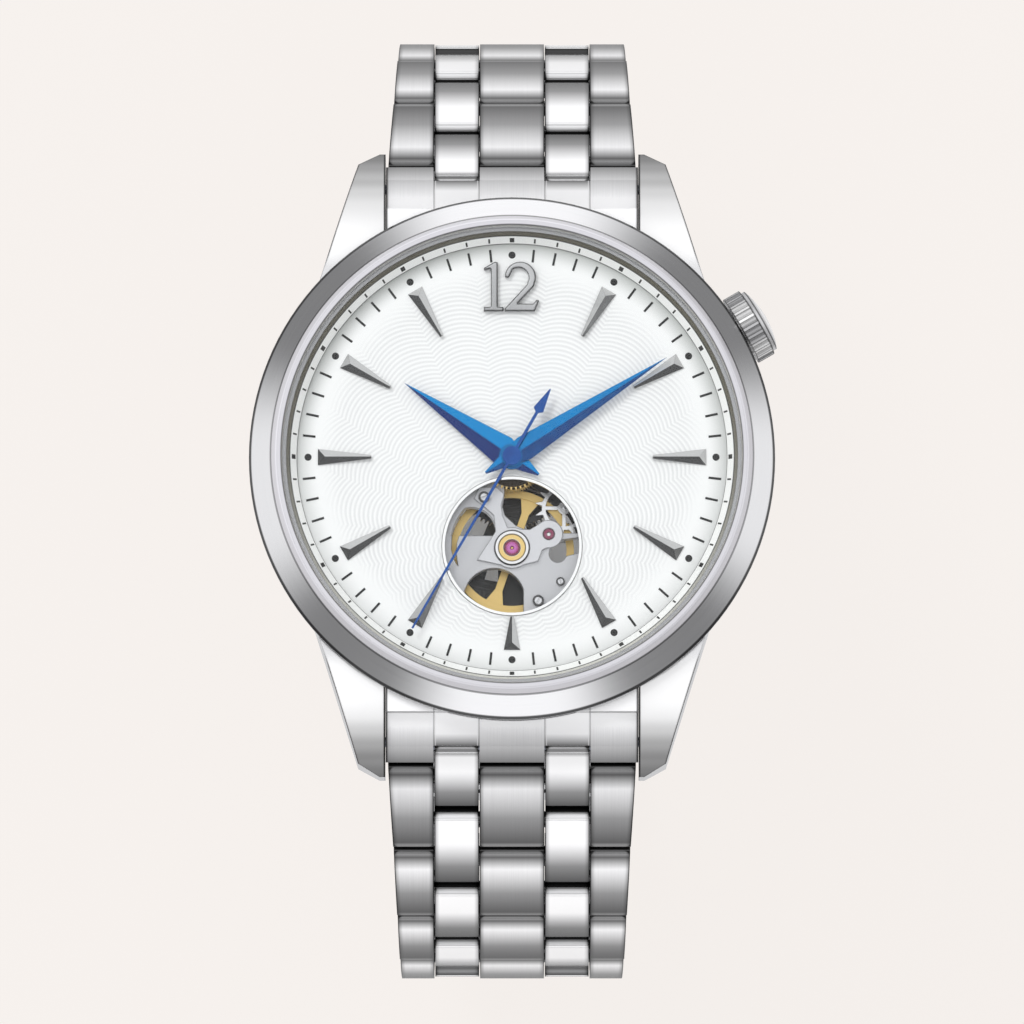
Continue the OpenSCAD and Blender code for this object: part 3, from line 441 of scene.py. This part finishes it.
# A polished block: its start on the first link and on the others, then the rest.
FIRST_START = [(0.0, 0.10), (0.06, 0.3)]
LATER_START = [(0.0, 0.55), (0.03, 0.9)]
POLISHED_SHEEN = [(0.12, 0.9), (0.35, 0.9), (0.7, 0.25), (0.95, 0.08), (1.0, 0.01)]
# each later link turns further from the light, so its far end fades more
FADE = [1.0, 0.85, 0.6, 0.5, 0.5, 0.5, 0.5]

# Lips, the ends that face the case, from the top down: painted light and shade on them.
BRUSHED_LIP = [(0.0, 0.03), (0.3, 0.01), (1.0, 0.005)]
BRUSHED_LIP_12_FIRST = [(0.0, 0.03), (0.15, 0.06), (0.3, 0.01), (1.0, 0.005)]
POLISHED_LIP = [(0.0, 0.85), (0.45, 0.8), (0.52, 0.2), (0.57, 0.55), (0.64, 0.02), (1.0, 0.005)]
POLISHED_LIP_12_LATE = [(0.0, 0.03), (1.0, 0.02)]
POLISHED_LIP_6_LATE = [(0.0, 0.02), (0.2, 0.05), (0.5, 0.45), (0.7, 0.2), (1.0, 0.1)]


def lip_tables(side, i):
    brushed = BRUSHED_LIP_12_FIRST if side == 12 and i == 0 else BRUSHED_LIP
    if side == 12 and i >= 3:
        return brushed, POLISHED_LIP_12_LATE
    if side == 6 and i >= 4:
        return brushed, POLISHED_LIP_6_LATE
    return brushed, POLISHED_LIP


def block_shade(net, i, across, along, shiny, shiny_near):
    """soft dark line down each side of a block, and dark rounded corners"""
    middle_edge, shiny_inner, shiny_outer, outer_edge = 2.55, 2.63, 6.12, 6.2
    shiny_centre, shiny_half = 4.365, 1.755
    corner_radius = 0.6
    near = LINK_LENGTH[i] - BLOCK_NEAR
    middle = LINK_LENGTH[i] - BLOCK_MIDDLE
    narrowing = HALF_WIDTH[i] - HALF_WIDTH[i + 1]

    in_shiny = net.min(across - shiny_inner, shiny_outer - across)
    in_brushed = net.lerp(across.step(4.0, 4.1), middle_edge - across, across - outer_edge)
    half = along.scale_add(-narrowing / BLOCK, HALF_WIDTH[i] + near * narrowing / BLOCK)
    inset = net.min(net.lerp(shiny, in_brushed, in_shiny), half - across + 0.02)
    inset = net.max(inset, 0.0)
    # steep close to the side, gentle further in
    shade = (inset.step(0.0, 0.10, start=0.06, end=0.55)
             + inset.step(0.08, 0.42, start=0.0, end=0.45))

    outer = across.step(4.0, 4.1)
    centre = net.lerp(shiny, outer * ((half + outer_edge) * 0.5), shiny_centre)
    block_half = net.lerp(outer, middle_edge, (half - outer_edge) * 0.5)
    block_half = net.lerp(shiny, block_half, shiny_half)
    past_side = net.max(abs(across - centre) - (block_half - corner_radius), 0.0)
    shiny_start = shiny_near - (0.1 if i == 0 else 0.35)
    past_shiny = (abs(along - (shiny_start + middle) / 2)
                  - ((middle - shiny_start) / 2 - corner_radius))
    past_brushed = abs(along - middle) - (BLOCK / 2 - corner_radius)
    past_end = net.max(net.lerp(shiny, past_brushed, past_shiny), 0.0)
    corner = (net.hyp(past_side, past_end) - corner_radius).step(-0.14, 0.0)
    return shade * (1.0 - corner * 0.94)


def link_steel(side, i):
    """brushed middle and outer blocks with polished blocks between, in the link's own frame"""
    net = material(f"link_steel_{side}_{i + 1}")
    x, y, z = net.mm()
    if side == 6:
        y = y * -1.0
    fall = math.radians(LINK_FALL[i])
    cos_fall, sin_fall = math.cos(fall), math.sin(fall)
    out, rise = y - PIVOTS[i][0], z - PIVOTS[i][1]
    along = out * cos_fall - rise * sin_fall
    up = out * sin_fall + rise * cos_fall
    across = abs(x)
    shiny = across.band(**POLISHED)
    top = up.step(0.5, 1.1)

    # the sheen each crowned block carries: bright near the case, dark at both joints
    near = LINK_LENGTH[i] - BLOCK_NEAR
    shiny_near = -0.5 if i == 0 else -1.75
    shiny_length = LINK_LENGTH[i] - BLOCK_MIDDLE - shiny_near
    near_gain = 1.2 if side == 6 else 1.0
    sheens = []
    for block_near, block_length, stops, fade_from in (
            (near, BLOCK, BRUSHED_SHEEN, 0.2),
            (shiny_near, shiny_length,
             (FIRST_START if i == 0 else LATER_START) + POLISHED_SHEEN, 0.3)):
        share = along.scale_add(1 / block_length, -block_near / block_length)
        fade = share.step(fade_from, 0.95, start=near_gain, end=FADE[i])
        sheens.append(net.tint(net.ramp(share, stops), fade))
    shade = block_shade(net, i, across, along, shiny, shiny_near)

    # brushing on top and ends, and on the flanks
    normal_x = abs(net.own_normal()[0])
    brush = net.lerp(normal_x.step(0.6, 0.8),
                     hairline(net, x, along, up * 0.1, fine=8.0),
                     hairline(net, up, along, x * 0.02, fine=8.0))
    wear = worn(net, x, y, z)
    brushed = net.mix(brush, (0.84, 0.84, 0.85), (1.10, 1.10, 1.11))
    bright = net.mix(wear, (1.05, 1.05, 1.06), (0.98, 0.98, 0.99))

    def steel():
        return net.mix(shiny, brushed, bright)

    face = net.times(net.tint(net.mix(shiny, *sheens), shade), steel())
    # the faces inside the joints sit in deep shade
    _, normal_y, normal_z = net.own_normal()
    if side == 6:
        normal_y = normal_y * -1.0
    outward = normal_y * cos_fall - normal_z * sin_fall
    end_on = abs(outward)
    inner = across.step(7.9, 8.1, start=1.0, end=0.0)
    joint = (net.max(end_on.step(0.62, 0.85), normal_x.step(0.6, 0.8))
             * net.max(inner, end_on.step(0.62, 0.85)))
    # faces off the top get painted shade at about half the steel's colour, the joint faces deeper
    # still
    shaded_off_top = net.tint(steel(), 0.52 - joint * 0.505)
    # the lip of the end that faces the case shows above the block before it, with painted light
    # and shade down it
    near_face = outward.step(-0.55, -0.8)
    down = (1.5 - up).step(0.0, 1.0, smooth=False)
    lips = [net.ramp(down, stops) for stops in lip_tables(side, i)]
    lip = net.times(net.tint(net.mix(shiny, *lips), shade), steel())

    colour = net.mix(top * (1.0 - joint), shaded_off_top, face)
    return net.surface(
        colour=net.mix(near_face * joint, colour, lip),
        metallic=net.lerp(top, 0.9, 0.42) * (1.0 - joint),
        rough=net.lerp(shiny, 0.24 + brush * 0.16, 0.14 + wear * 0.05),
        normal=net.bump(brush * (1.0 - shiny), depth=0.012, strength=0.35, edge=0.1))


def end_link_steel():
    net = material("end_link_steel")
    x, y, z = net.mm()
    across, out = abs(x), abs(y)
    shiny = across.band(**POLISHED)
    # dark lines between the strips, with a painted highlight line on the polished side of each
    dark = net.max(across.band(2.54, 2.66, soft=0.02), across.band(6.10, 6.22, soft=0.02))
    pale = net.max(across.band(2.66, 2.76, soft=0.02), across.band(6.0, 6.10, soft=0.02))
    brush = hairline(net, x, out, z * 0.02, fine=8.0)
    top = net.normal()[2].step(0.1, 0.3)
    # painted sheen along the link: bright near the case, dark at its far end
    share = out.step(18.0, 24.0, smooth=False)
    value = net.mix(shiny,
                    net.ramp(share, [(0.0, 1.1), (0.5, 1.05), (1.0, 0.15)]),
                    net.ramp(share, [(0.0, 1.1), (0.6, 1.05), (0.76, 0.1), (1.0, 0.1)]))
    # painted shade on the link's outer flanks
    off_side = across.step(9.72, 9.92, start=1.0, end=0.04)
    value = net.tint(value, off_side * (1.0 - dark * 0.45))
    value = net.mix(pale * 0.5, value, (0.9, 0.9, 0.9))
    brushed = net.mix(brush, (0.82, 0.82, 0.83), (1.12, 1.12, 1.13))
    steel = net.mix(shiny, brushed, (1.0, 1.0, 1.01))
    # faces off the top get painted shade at half the steel's colour
    return net.surface(
        colour=net.mix(top, net.tint(steel, 0.5), net.times(value, steel)),
        metallic=net.lerp(top, 0.9, 0.35),
        rough=net.lerp(shiny, 0.26 + brush * 0.16, 0.16),
        normal=net.bump(brush * (1.0 - shiny), depth=0.012, strength=0.3, edge=0.08))


# ---------------------------------------------------------------- case
def bezel_steel():
    """satin slope with lines round the watch, and a polished lip"""
    net = material("bezel_steel")
    x, y, z = net.mm()
    radius = net.hyp(x, y)
    turn = net.angle(y, x)
    brush = net.noise(radius * 11.0, turn.sin() * 2.5, turn.cos() * 2.5, detail=3.0, rough=0.6)
    slope = radius.step(19.0, 19.12) * z.step(10.3, 9.9)
    lip = radius.step(19.04, 18.98) * z.step(9.6, 9.8)
    seam = radius.band(18.97, 19.10, soft=0.02)
    rim = radius.step(20.50, 20.62)
    wear = worn(net, x, y, z)
    colour = net.mix(slope, net.mix(wear, (0.84, 0.84, 0.86), (0.8, 0.8, 0.82)),
                     net.mix(brush, (0.74, 0.74, 0.75), (0.82, 0.82, 0.83)))
    # painted shade along the outer rim, and a dark seam line
    colour = net.tint(colour, 1.0 - (seam * 0.6 + rim * 0.92))
    # painted light: brighter towards 12 and 6 o'clock
    colour = net.tint(colour, 1.0 + slope * (abs(y) / radius).step(0.7, 1.0) * 0.2)
    # on the lip, painted shade at its inner edge and a painted highlight along its ridge
    inner_edge = radius.step(18.30, 18.22)
    ridge = radius.band(18.56, 18.66, soft=0.03)
    lip_colour = net.mix(wear, (0.66, 0.655, 0.69), (0.62, 0.615, 0.65))
    lip_colour = net.tint(lip_colour, 1.0 - inner_edge * 0.75 + ridge * 0.22)
    return net.surface(
        colour=net.mix(lip, colour, net.tint(lip_colour, 1.0 - seam * 0.75)),
        metallic=net.lerp(lip, 1.0, 0.25),
        rough=net.lerp(lip, net.lerp(slope, 0.1, 0.13 + brush * 0.1), 0.3),
        normal=net.bump(brush * slope, depth=0.008, strength=0.2, edge=0.08))


def case_steel():
    """polished lugs over brushed flanks"""
    net = material("case_steel")
    x, y, z = net.mm()
    brush = hairline(net, z, x + y, fine=7.0)
    wear = worn(net, x, y, z)
    top = net.normal()[2].step(0.28, 0.5) * abs(y).step(15.0, 16.5)
    # painted shade: the lugs darken outwards, on their inner sides and along their borders
    shade = net.ramp(abs(y).step(17.0, 25.0, smooth=False),
                     [(0.0, 0.95), (0.42, 0.93), (0.55, 0.78), (0.68, 0.52),
                      (0.82, 0.30), (0.92, 0.19), (0.97, 0.15), (1.0, 0.10)], "EASE")
    inner = abs(x).step(10.04, 10.2, start=0.04, end=1.0)
    shade = net.tint(shade, inner * (1.0 - net.border(0.17, low=0.70, high=0.97) * 0.85))
    return net.surface(
        colour=net.mix(top, net.mix(brush, (0.6, 0.6, 0.61), (0.8, 0.8, 0.81)),
                       net.mix(wear * 0.4, shade, net.tint(shade, 0.93))),
        metallic=net.lerp(top, 1.0, 0.35), rough=net.lerp(top, 0.18 + brush * 0.14, 0.16),
        normal=net.bump(brush * (1.0 - top), depth=0.01, strength=0.3, edge=0.12))


def crown_steel():
    """polished flutes with painted shade in the grooves between them, and a domed cap with painted
    shading and a painted dark rim
    """
    angle, height = math.radians(30), 5.0  # the crown's axis: turned from +X, above z = 0
    flutes = 24
    net = material("steel_crown_top")
    x, y, z = net.mm()
    cos_axis, sin_axis = math.cos(angle), math.sin(angle)
    along = x * cos_axis + y * sin_axis
    aside = y * cos_axis - x * sin_axis
    up = z - height
    radius = net.hyp(aside, up)
    turn = net.angle(up, aside)
    flute = abs(turn.phase(flutes, offset=24.0))
    # painted shade in the grooves and along their edges
    groove = flute.step(0.15, 0.21)
    groove_edge = flute.band(0.11, 0.19, soft=0.03)
    # painted reflection: five bright and five dull sweeps round the crown
    tone = net.mix((turn * 5.0).cos().step(-0.5, 0.5), (0.50, 0.50, 0.51), (1.0, 1.0, 1.0))
    side = net.tint(tone, 1.0 - (groove * 0.35 + groove_edge * 0.5))
    cap = along.step(22.28, 22.34)
    # painted shading on the dome: pale in the middle, greyer outwards
    dome = net.mix(radius.step(1.8, 2.3), (0.98, 0.98, 0.99), (0.62, 0.62, 0.63))
    # dark lines at the join to the cap and round the cap, painted shade along the borders, and a
    # painted dark rim where the surface turns edge-on
    lines = net.max(along.band(22.22, 22.36, soft=0.03),
                    net.max(cap * along.band(22.56, 22.70, soft=0.03), net.border(0.08)))
    rim = net.node("LayerWeight", {"Blend": 0.5}, out="Facing").step(0.93, 0.99)
    dark = net.max(lines * 0.75, rim * 0.85) * 1.0
    return net.surface(colour=net.tint(net.mix(cap, side, dome), 1.0 - dark), metallic=0.4,
                       rough=0.2 + worn(net, x, y, z) * 0.08, normal=net.edge(0.04))


def rehaut_steel():
    """white inner band with a minute track, then an olive-grey wall, darkened by painted shade
    towards both upper sides
    """
    net = material("rehaut_steel")
    x, y, z = net.mm()
    radius = net.hyp(x, y)
    turn = net.angle(x, y)
    minute = abs(turn.phase(60, offset=60.5))
    hour = abs(turn.phase(12, offset=12.5))
    tick = net.max(minute.step(0.05, 0.03), hour.step(0.022, 0.018))
    tick = tick * radius.band(17.06, 17.36, soft=0.015)
    circles = net.max(radius.band(16.90, 16.985, soft=0.012),
                      radius.band(17.47, 17.555, soft=0.012))
    rings = net.noise(radius * 9.0, 0.0, 0.0)
    # painted shade: the wall darkens towards both upper sides
    upper = abs(x) * 0.55 + y * 0.75
    wall = net.mix(upper.step(-10.0, 15.0), (0.62, 0.61, 0.56), (0.115, 0.105, 0.075))
    wall = net.tint(wall, 0.75 + rings * 0.5)
    white = net.tint((0.93, 0.93, 0.91), 0.98 + net.noise(x, y, z, scale=20.0) * 0.03)
    colour = net.mix(radius.step(17.50, 17.52), white, wall)
    return net.surface(
        colour=net.mix(net.max(tick, circles * 0.85), colour, (0.012, 0.012, 0.01)),
        metallic=0.1, rough=0.35)


# ---------------------------------------------------------------- dial and movement
def dial_paint():
    """silvered dial with scalloped rings round the aperture, black print, bright bevel"""
    net = material("dial_paint")
    x, y, z = net.mm()
    heart_y = y + HEART_DROP
    from_heart = net.hyp(x, heart_y)
    lobe_place = net.angle(x, heart_y).phase(24, offset=24.5)
    lobe = 1.0 - lobe_place * lobe_place * 4.0
    ring = (from_heart - from_heart * 0.034 * lobe) / 0.352  # rings 0.352 apart
    wave = (ring * math.tau).cos().scale_add(0.5, 0.5)
    radius = net.hyp(x, y)
    lines = wave * radius.step(13.4, 15.4, start=1.0, end=0.0)
    grain = net.noise(x, y, z, scale=22.0, detail=3.0, rough=0.7)
    silver = net.mix(lines * 0.62, (0.925, 0.925, 0.92), (0.66, 0.66, 0.665))
    silver = net.tint(silver, 0.985 + grain * 0.03)
    # painted shadow of the rehaut: a grey ring at the dial's edge, strongest towards 12
    rim = radius.step(15.4, 17.3) * y.step(-14.0, 12.0, start=0.35, end=1.0)
    silver = net.mix(rim, silver, (0.46, 0.475, 0.455))
    printed = z.step(8.262, 8.268) * from_heart.step(5.6, 5.7)
    bevel = from_heart.step(5.56, 5.54) * z.step(8.0, 8.1)
    wall = from_heart.step(5.36, 5.33) * z.step(8.34, 8.3)
    colour = net.mix(printed, silver, (0.006, 0.006, 0.006))
    colour = net.mix(bevel, colour, (0.9, 0.9, 0.9))
    # painted shade on the aperture's wall, darker towards its upper side
    deep = (x * 0.5 + heart_y).step(-3.0, 4.5)
    colour = net.mix(wall, colour, net.mix(deep, (0.30, 0.27, 0.22), (0.05, 0.04, 0.03)))
    bevel_line = from_heart.band(5.50, 5.56, soft=0.012)
    return net.surface(
        colour=net.mix(bevel_line, colour, (0.30, 0.30, 0.30)), metallic=bevel * 1.0,
        rough=net.lerp(bevel, 0.42, 0.12),
        normal=net.bump(1.0 - lines, depth=0.02, strength=0.5))


def marker_steel():
    """polished facets, lit and shaded by painted light, with painted shade along their edges; the
    numeral at 12 is greyer, with a painted sheen, painted light and shade as of a bevel, and
    painted shade along its borders
    """
    net = material("marker_steel")
    x, y, z = net.mm()
    facing, cloud = sun_facing(net, x, y, z, ripple=0.06)
    lit = facing.step(-0.10, 0.10)
    facet = net.mix(lit, (0.12, 0.12, 0.122), (0.90, 0.90, 0.90))
    # painted shade along the edges
    facet = net.tint(facet, 1.0 - net.outline(0.07) * net.lerp(lit, 0.8, 0.5))
    numeral = abs(x).step(2.9, 3.0, start=1.0, end=0.0) * y.step(8.0, 8.2)
    sheen = (x * 0.6 + y * 0.9).step(9.5, 14.5)
    # painted light and shade, as of a bevel lit from the upper left
    round_x, round_y, _ = net.split(net.edge(0.22, samples=6))
    roll = round_x * -0.75 + round_y * 0.65
    grey = net.mix(roll.step(-0.30, 0.34), (0.10, 0.10, 0.105), (0.86, 0.86, 0.87))
    grey = net.tint(grey, 0.85 + sheen * 0.3)
    # painted shade along the numeral's borders
    grey = net.tint(grey, 1.0 - net.border(0.14) * 0.88)
    return net.surface(colour=net.mix(numeral, facet, grey),
                       metallic=net.lerp(numeral, 0.55, 0.4),
                       rough=0.16 + cloud * 0.08, normal=net.edge(0.02))


def gem():
    """synthetic ruby: dark rim, lighter heart in the balance jewel"""
    jewel_radius = 0.65
    net = material("ruby")
    x, y, z = net.mm()
    cloud = net.noise(x, y, z, scale=4.0)
    balance = net.hyp(x, y + HEART_DROP)
    second = net.hyp(x - 2.9, y + 5.96)
    heart = net.ramp(balance / jewel_radius, [
        (0.0, (0.20, 0.01, 0.10)), (0.22, (0.30, 0.03, 0.19)), (0.34, (0.50, 0.14, 0.42)),
        (0.62, (0.42, 0.06, 0.30)), (0.76, (0.19, 0.005, 0.05)), (0.92, (0.13, 0.0, 0.03)),
        (1.0, (0.05, 0.0, 0.01))], "EASE")
    other = net.mix(cloud, (0.15, 0.004, 0.03), (0.30, 0.04, 0.12))
    other = net.mix(second.step(0.33, 0.42), other, (0.06, 0.0, 0.015))
    return net.surface(colour=net.mix(balance.step(0.68, 0.72), heart, other), metallic=0.0,
                       rough=0.12, IOR=1.6, Coat_Weight=0.4, Coat_Roughness=0.06)


def screw_steel():
    """polished screw heads, three of them ringed with a dark chamfer"""
    net = material("screw_steel")
    x, y, z = net.mm()
    ring = 0.0
    for screw_x, screw_y, size in ((-2.2, -3.06, 0.45), (2.07, -11.25, 0.45), (3.82, -9.72, 0.34)):
        radius = net.hyp(x - screw_x, y - screw_y)
        ring = net.max(ring, radius.band(size * 0.62, size * 1.1, soft=0.03))
    cloud = net.noise(x, y, z, scale=1.6)
    colour = net.mix(cloud, (0.52, 0.52, 0.54), (0.85, 0.85, 0.87))
    # painted shade along the edges
    colour = net.tint(colour, 1.0 - net.outline(0.04) * 0.7)
    return net.surface(colour=net.mix(ring * 0.93, colour, (0.03, 0.03, 0.03)), metallic=0.7,
                       rough=0.16 + cloud * 0.08, normal=net.edge(0.03))


# ---------------------------------------------------------------- dress every node
satin("steel_satin")  # spare: no piece wears it
blade = satin("steel_blade", colour=(0.78, 0.78, 0.79), along="y", rough=0.2)
flutes = polished("steel_crown", rough=0.1, edge=0.05)
sapphire = clear("sapphire")
striped = nickel("nickel_striped", (0.68, 0.68, 0.70), striped=True)
spring = polished("spring_steel", colour=(0.4, 0.42, 0.48), rough=0.15, edge=0.02)
blue = faceted("blued_steel", light=(0.003, 0.24, 0.58), dark=(0.012, 0.03, 0.15),
               rough=0.18, metallic=0.75)
end_steel = end_link_steel()

looks = {
    "case_middle": case_steel(),
    "bezel": bezel_steel(),
    "crystal": sapphire,
    "crystal_gasket": plastic("gasket", (0.55, 0.54, 0.5)),
    "rehaut_ring": rehaut_steel(),
    "dial": dial_paint(),
    "hour_markers": marker_steel(),
    "movement_holder": plastic("holder", (0.72, 0.71, 0.67)),
    "case_back": satin("case_back_steel"),
    "case_back_window": sapphire,
    "crown": crown_steel(),
    "winding_stem": blade,
    "winding_pinion": blade,
    "main_plate": nickel("nickel_main", (0.60, 0.60, 0.62)),
    "heart_bridge": nickel("nickel_bridge", (0.69, 0.69, 0.715)),
    "heart_setting": gilt("gilt_setting", centre=HEART, silver=1.06),
    "train_bridge": striped,
    "balance_cock": striped,
    "jewels": gem(),
    "bridge_screws": screw_steel(),
    "barrel": gilt("gilt_barrel", centre=(-0.575, 6.575)),
    "mainspring": spring,
    "ratchet_wheel": rotor_metal("ratchet_steel"),
    "reduction_wheel": gilt("gilt_reduction", centre=(-1.297, 3.294)),
    "rotor_stud": polished("steel_polished"),
    "rotor": rotor_metal("rotor_nickel"),
    "centre_wheel": gilt("gilt_centre", teeth=2.2),
    "third_wheel": gilt("gilt_third", centre=(-2.608, 0.699)),
    "fourth_wheel": gilt("gilt_fourth", shaded_top=True),
    "escape_wheel": blade,
    "pallet_fork": blade,
    "balance_wheel": gilt("gilt_balance", centre=HEART),
    "hairspring": spring,
    "hour_wheel": gilt("gilt_hour", teeth=2.3),
    "minute_wheel": gilt("gilt_minute", centre=(-1.5, 2.598)),
    "hour_hand": blue,
    "minute_hand": blue,
    "seconds_hand": faceted("blued_steel_fine", light=(0.008, 0.13, 0.48),
                            dark=(0.012, 0.016, 0.13), rough=0.2, metallic=0.6),
    "end_link_12": end_steel,
    "end_link_6": end_steel,
    "spring_bars": spring,
    "clasp_cover": satin("clasp_steel", along="y"),
    "clasp_middle_blade": blade,
    "clasp_inner_blade": blade,
    "clasp_button_right": flutes,
    "clasp_button_left": flutes,
}
for side in (12, 6):
    for i in range(len(LINK_LENGTH)):
        looks[f"link_{side}_{i + 1}"] = link_steel(side, i)

for name, look in looks.items():
    piece = nodes[name].data
    piece.materials.clear()
    piece.materials.append(look)
    for polygon in piece.polygons:
        polygon.material_index = 0

# smooth shading below an angle, so turned surfaces read round
for piece in nodes.values():
    with bpy.context.temp_override(object=piece, active_object=piece, selected_objects=[piece],
                                   selected_editable_objects=[piece]):
        bpy.ops.object.shade_smooth_by_angle(angle=math.radians(26))

# ---------------------------------------------------------------- stage, in metres
scene = bpy.context.scene
scene.view_settings.view_transform = "Standard"
scene.view_settings.look = "None"


def floor_paper():
    """paper that mostly glows by itself; from below it lets the back of the watch show"""
    net = material("floor_paper")
    fibre = net.noise(*net.mm(), scale=0.6, detail=3.0)
    diffuse = net.node("BsdfDiffuse", {0: net.mix(fibre, scaled(PAPER, 0.985), PAPER)})
    glow = net.node("Emission", {0: PAPER, 1: 1.0})
    paper = net.node("MixShader", {0: 0.93, 1: diffuse, 2: glow})
    return net.out(net.node("MixShader", {0: net.node("NewGeometry", out="Backfacing"),
                                          1: paper, 2: net.node("BsdfTransparent")}))


def make_floor():
    half = 3.0
    gap = 0.0002  # below the lowest point of the watch
    mesh = bpy.data.meshes.new("floor")
    mesh.from_pydata([(-half, -half, 0), (half, -half, 0), (half, half, 0), (-half, half, 0)],
                     [], [(0, 1, 2, 3)])
    floor = bpy.data.objects.new("floor", mesh)
    floor.location = (0, 0, Vector(cad_box[0]).z - gap)
    scene.collection.objects.link(floor)
    floor.visible_glossy = False
    mesh.materials.append(floor_paper())


def make_world():
    """soft studio tent: bright overhead, a darker belt, four soft boxes round the horizon"""
    scene.world = bpy.data.worlds.new("studio")
    net = Net(scene.world)
    x, y, z = net.split(net.node("TexCoord", out="Generated"))
    azimuth = net.angle(y, x)
    elevation = net.math("ARCSINE", net.min(net.max(z, -1.0), 1.0)) * (180 / math.pi)
    boxes = (azimuth * 4.0).cos().step(-0.75, 0.75, start=0.26, end=1.02) * 1.0
    below = net.lerp(elevation.step(-55.0, -25.0), 0.75, boxes)
    belt = net.lerp(elevation.step(4.0, 22.0), below, 0.30)
    tent = net.lerp(elevation.step(36.0, 76.0), belt, 1.16)
    # only reflections see the tent; other light is even, and the camera sees paper
    glossy_ray = net.node("LightPath", out="Is Glossy Ray")
    value = net.lerp(glossy_ray, 0.9, tent)
    colour = net.mix(glossy_ray.output("Is Camera Ray"),
                     net.join(value, value, value * 1.01), PAPER)
    net.out(net.node("Background", {0: colour, 1: 1.0}), "OutputWorld")


def make_key():
    """round soft light from the upper left, aimed at the origin"""
    place = Vector((-0.35, 0.45, 0.75))
    data = bpy.data.lights.new("key", "AREA")
    data.shape = "DISK"
    data.size = 0.30
    data.energy = 3.0
    key = bpy.data.objects.new("key", data)
    scene.collection.objects.link(key)
    key.location = place
    key.rotation_euler = (Vector((0, 0, 0)) - place).to_track_quat("-Z", "Y").to_euler()
    key.visible_glossy = False
    key.visible_camera = False


def make_camera():
    """long lens above the dial, tilted a little towards 6 o'clock"""
    tilt = math.radians(7.2)
    aim = Vector((0, -4.19, 6.97)) * MM
    distance = 2.2
    view_width = 0.08076  # what the frame spans at the aim
    data = bpy.data.cameras.new("camera")
    data.sensor_width = 36
    data.lens = 36 * distance / view_width
    data.clip_end = 20
    camera = bpy.data.objects.new("camera", data)
    scene.collection.objects.link(camera)
    back = Vector((0, -math.sin(tilt), math.cos(tilt)))
    right = Vector((1, 0, 0))
    turn = Matrix((right, back.cross(right), back)).transposed().to_4x4()
    camera.matrix_world = Matrix.Translation(aim + back * distance) @ turn
    scene.camera = camera


make_floor()
make_world()
make_key()
make_camera()
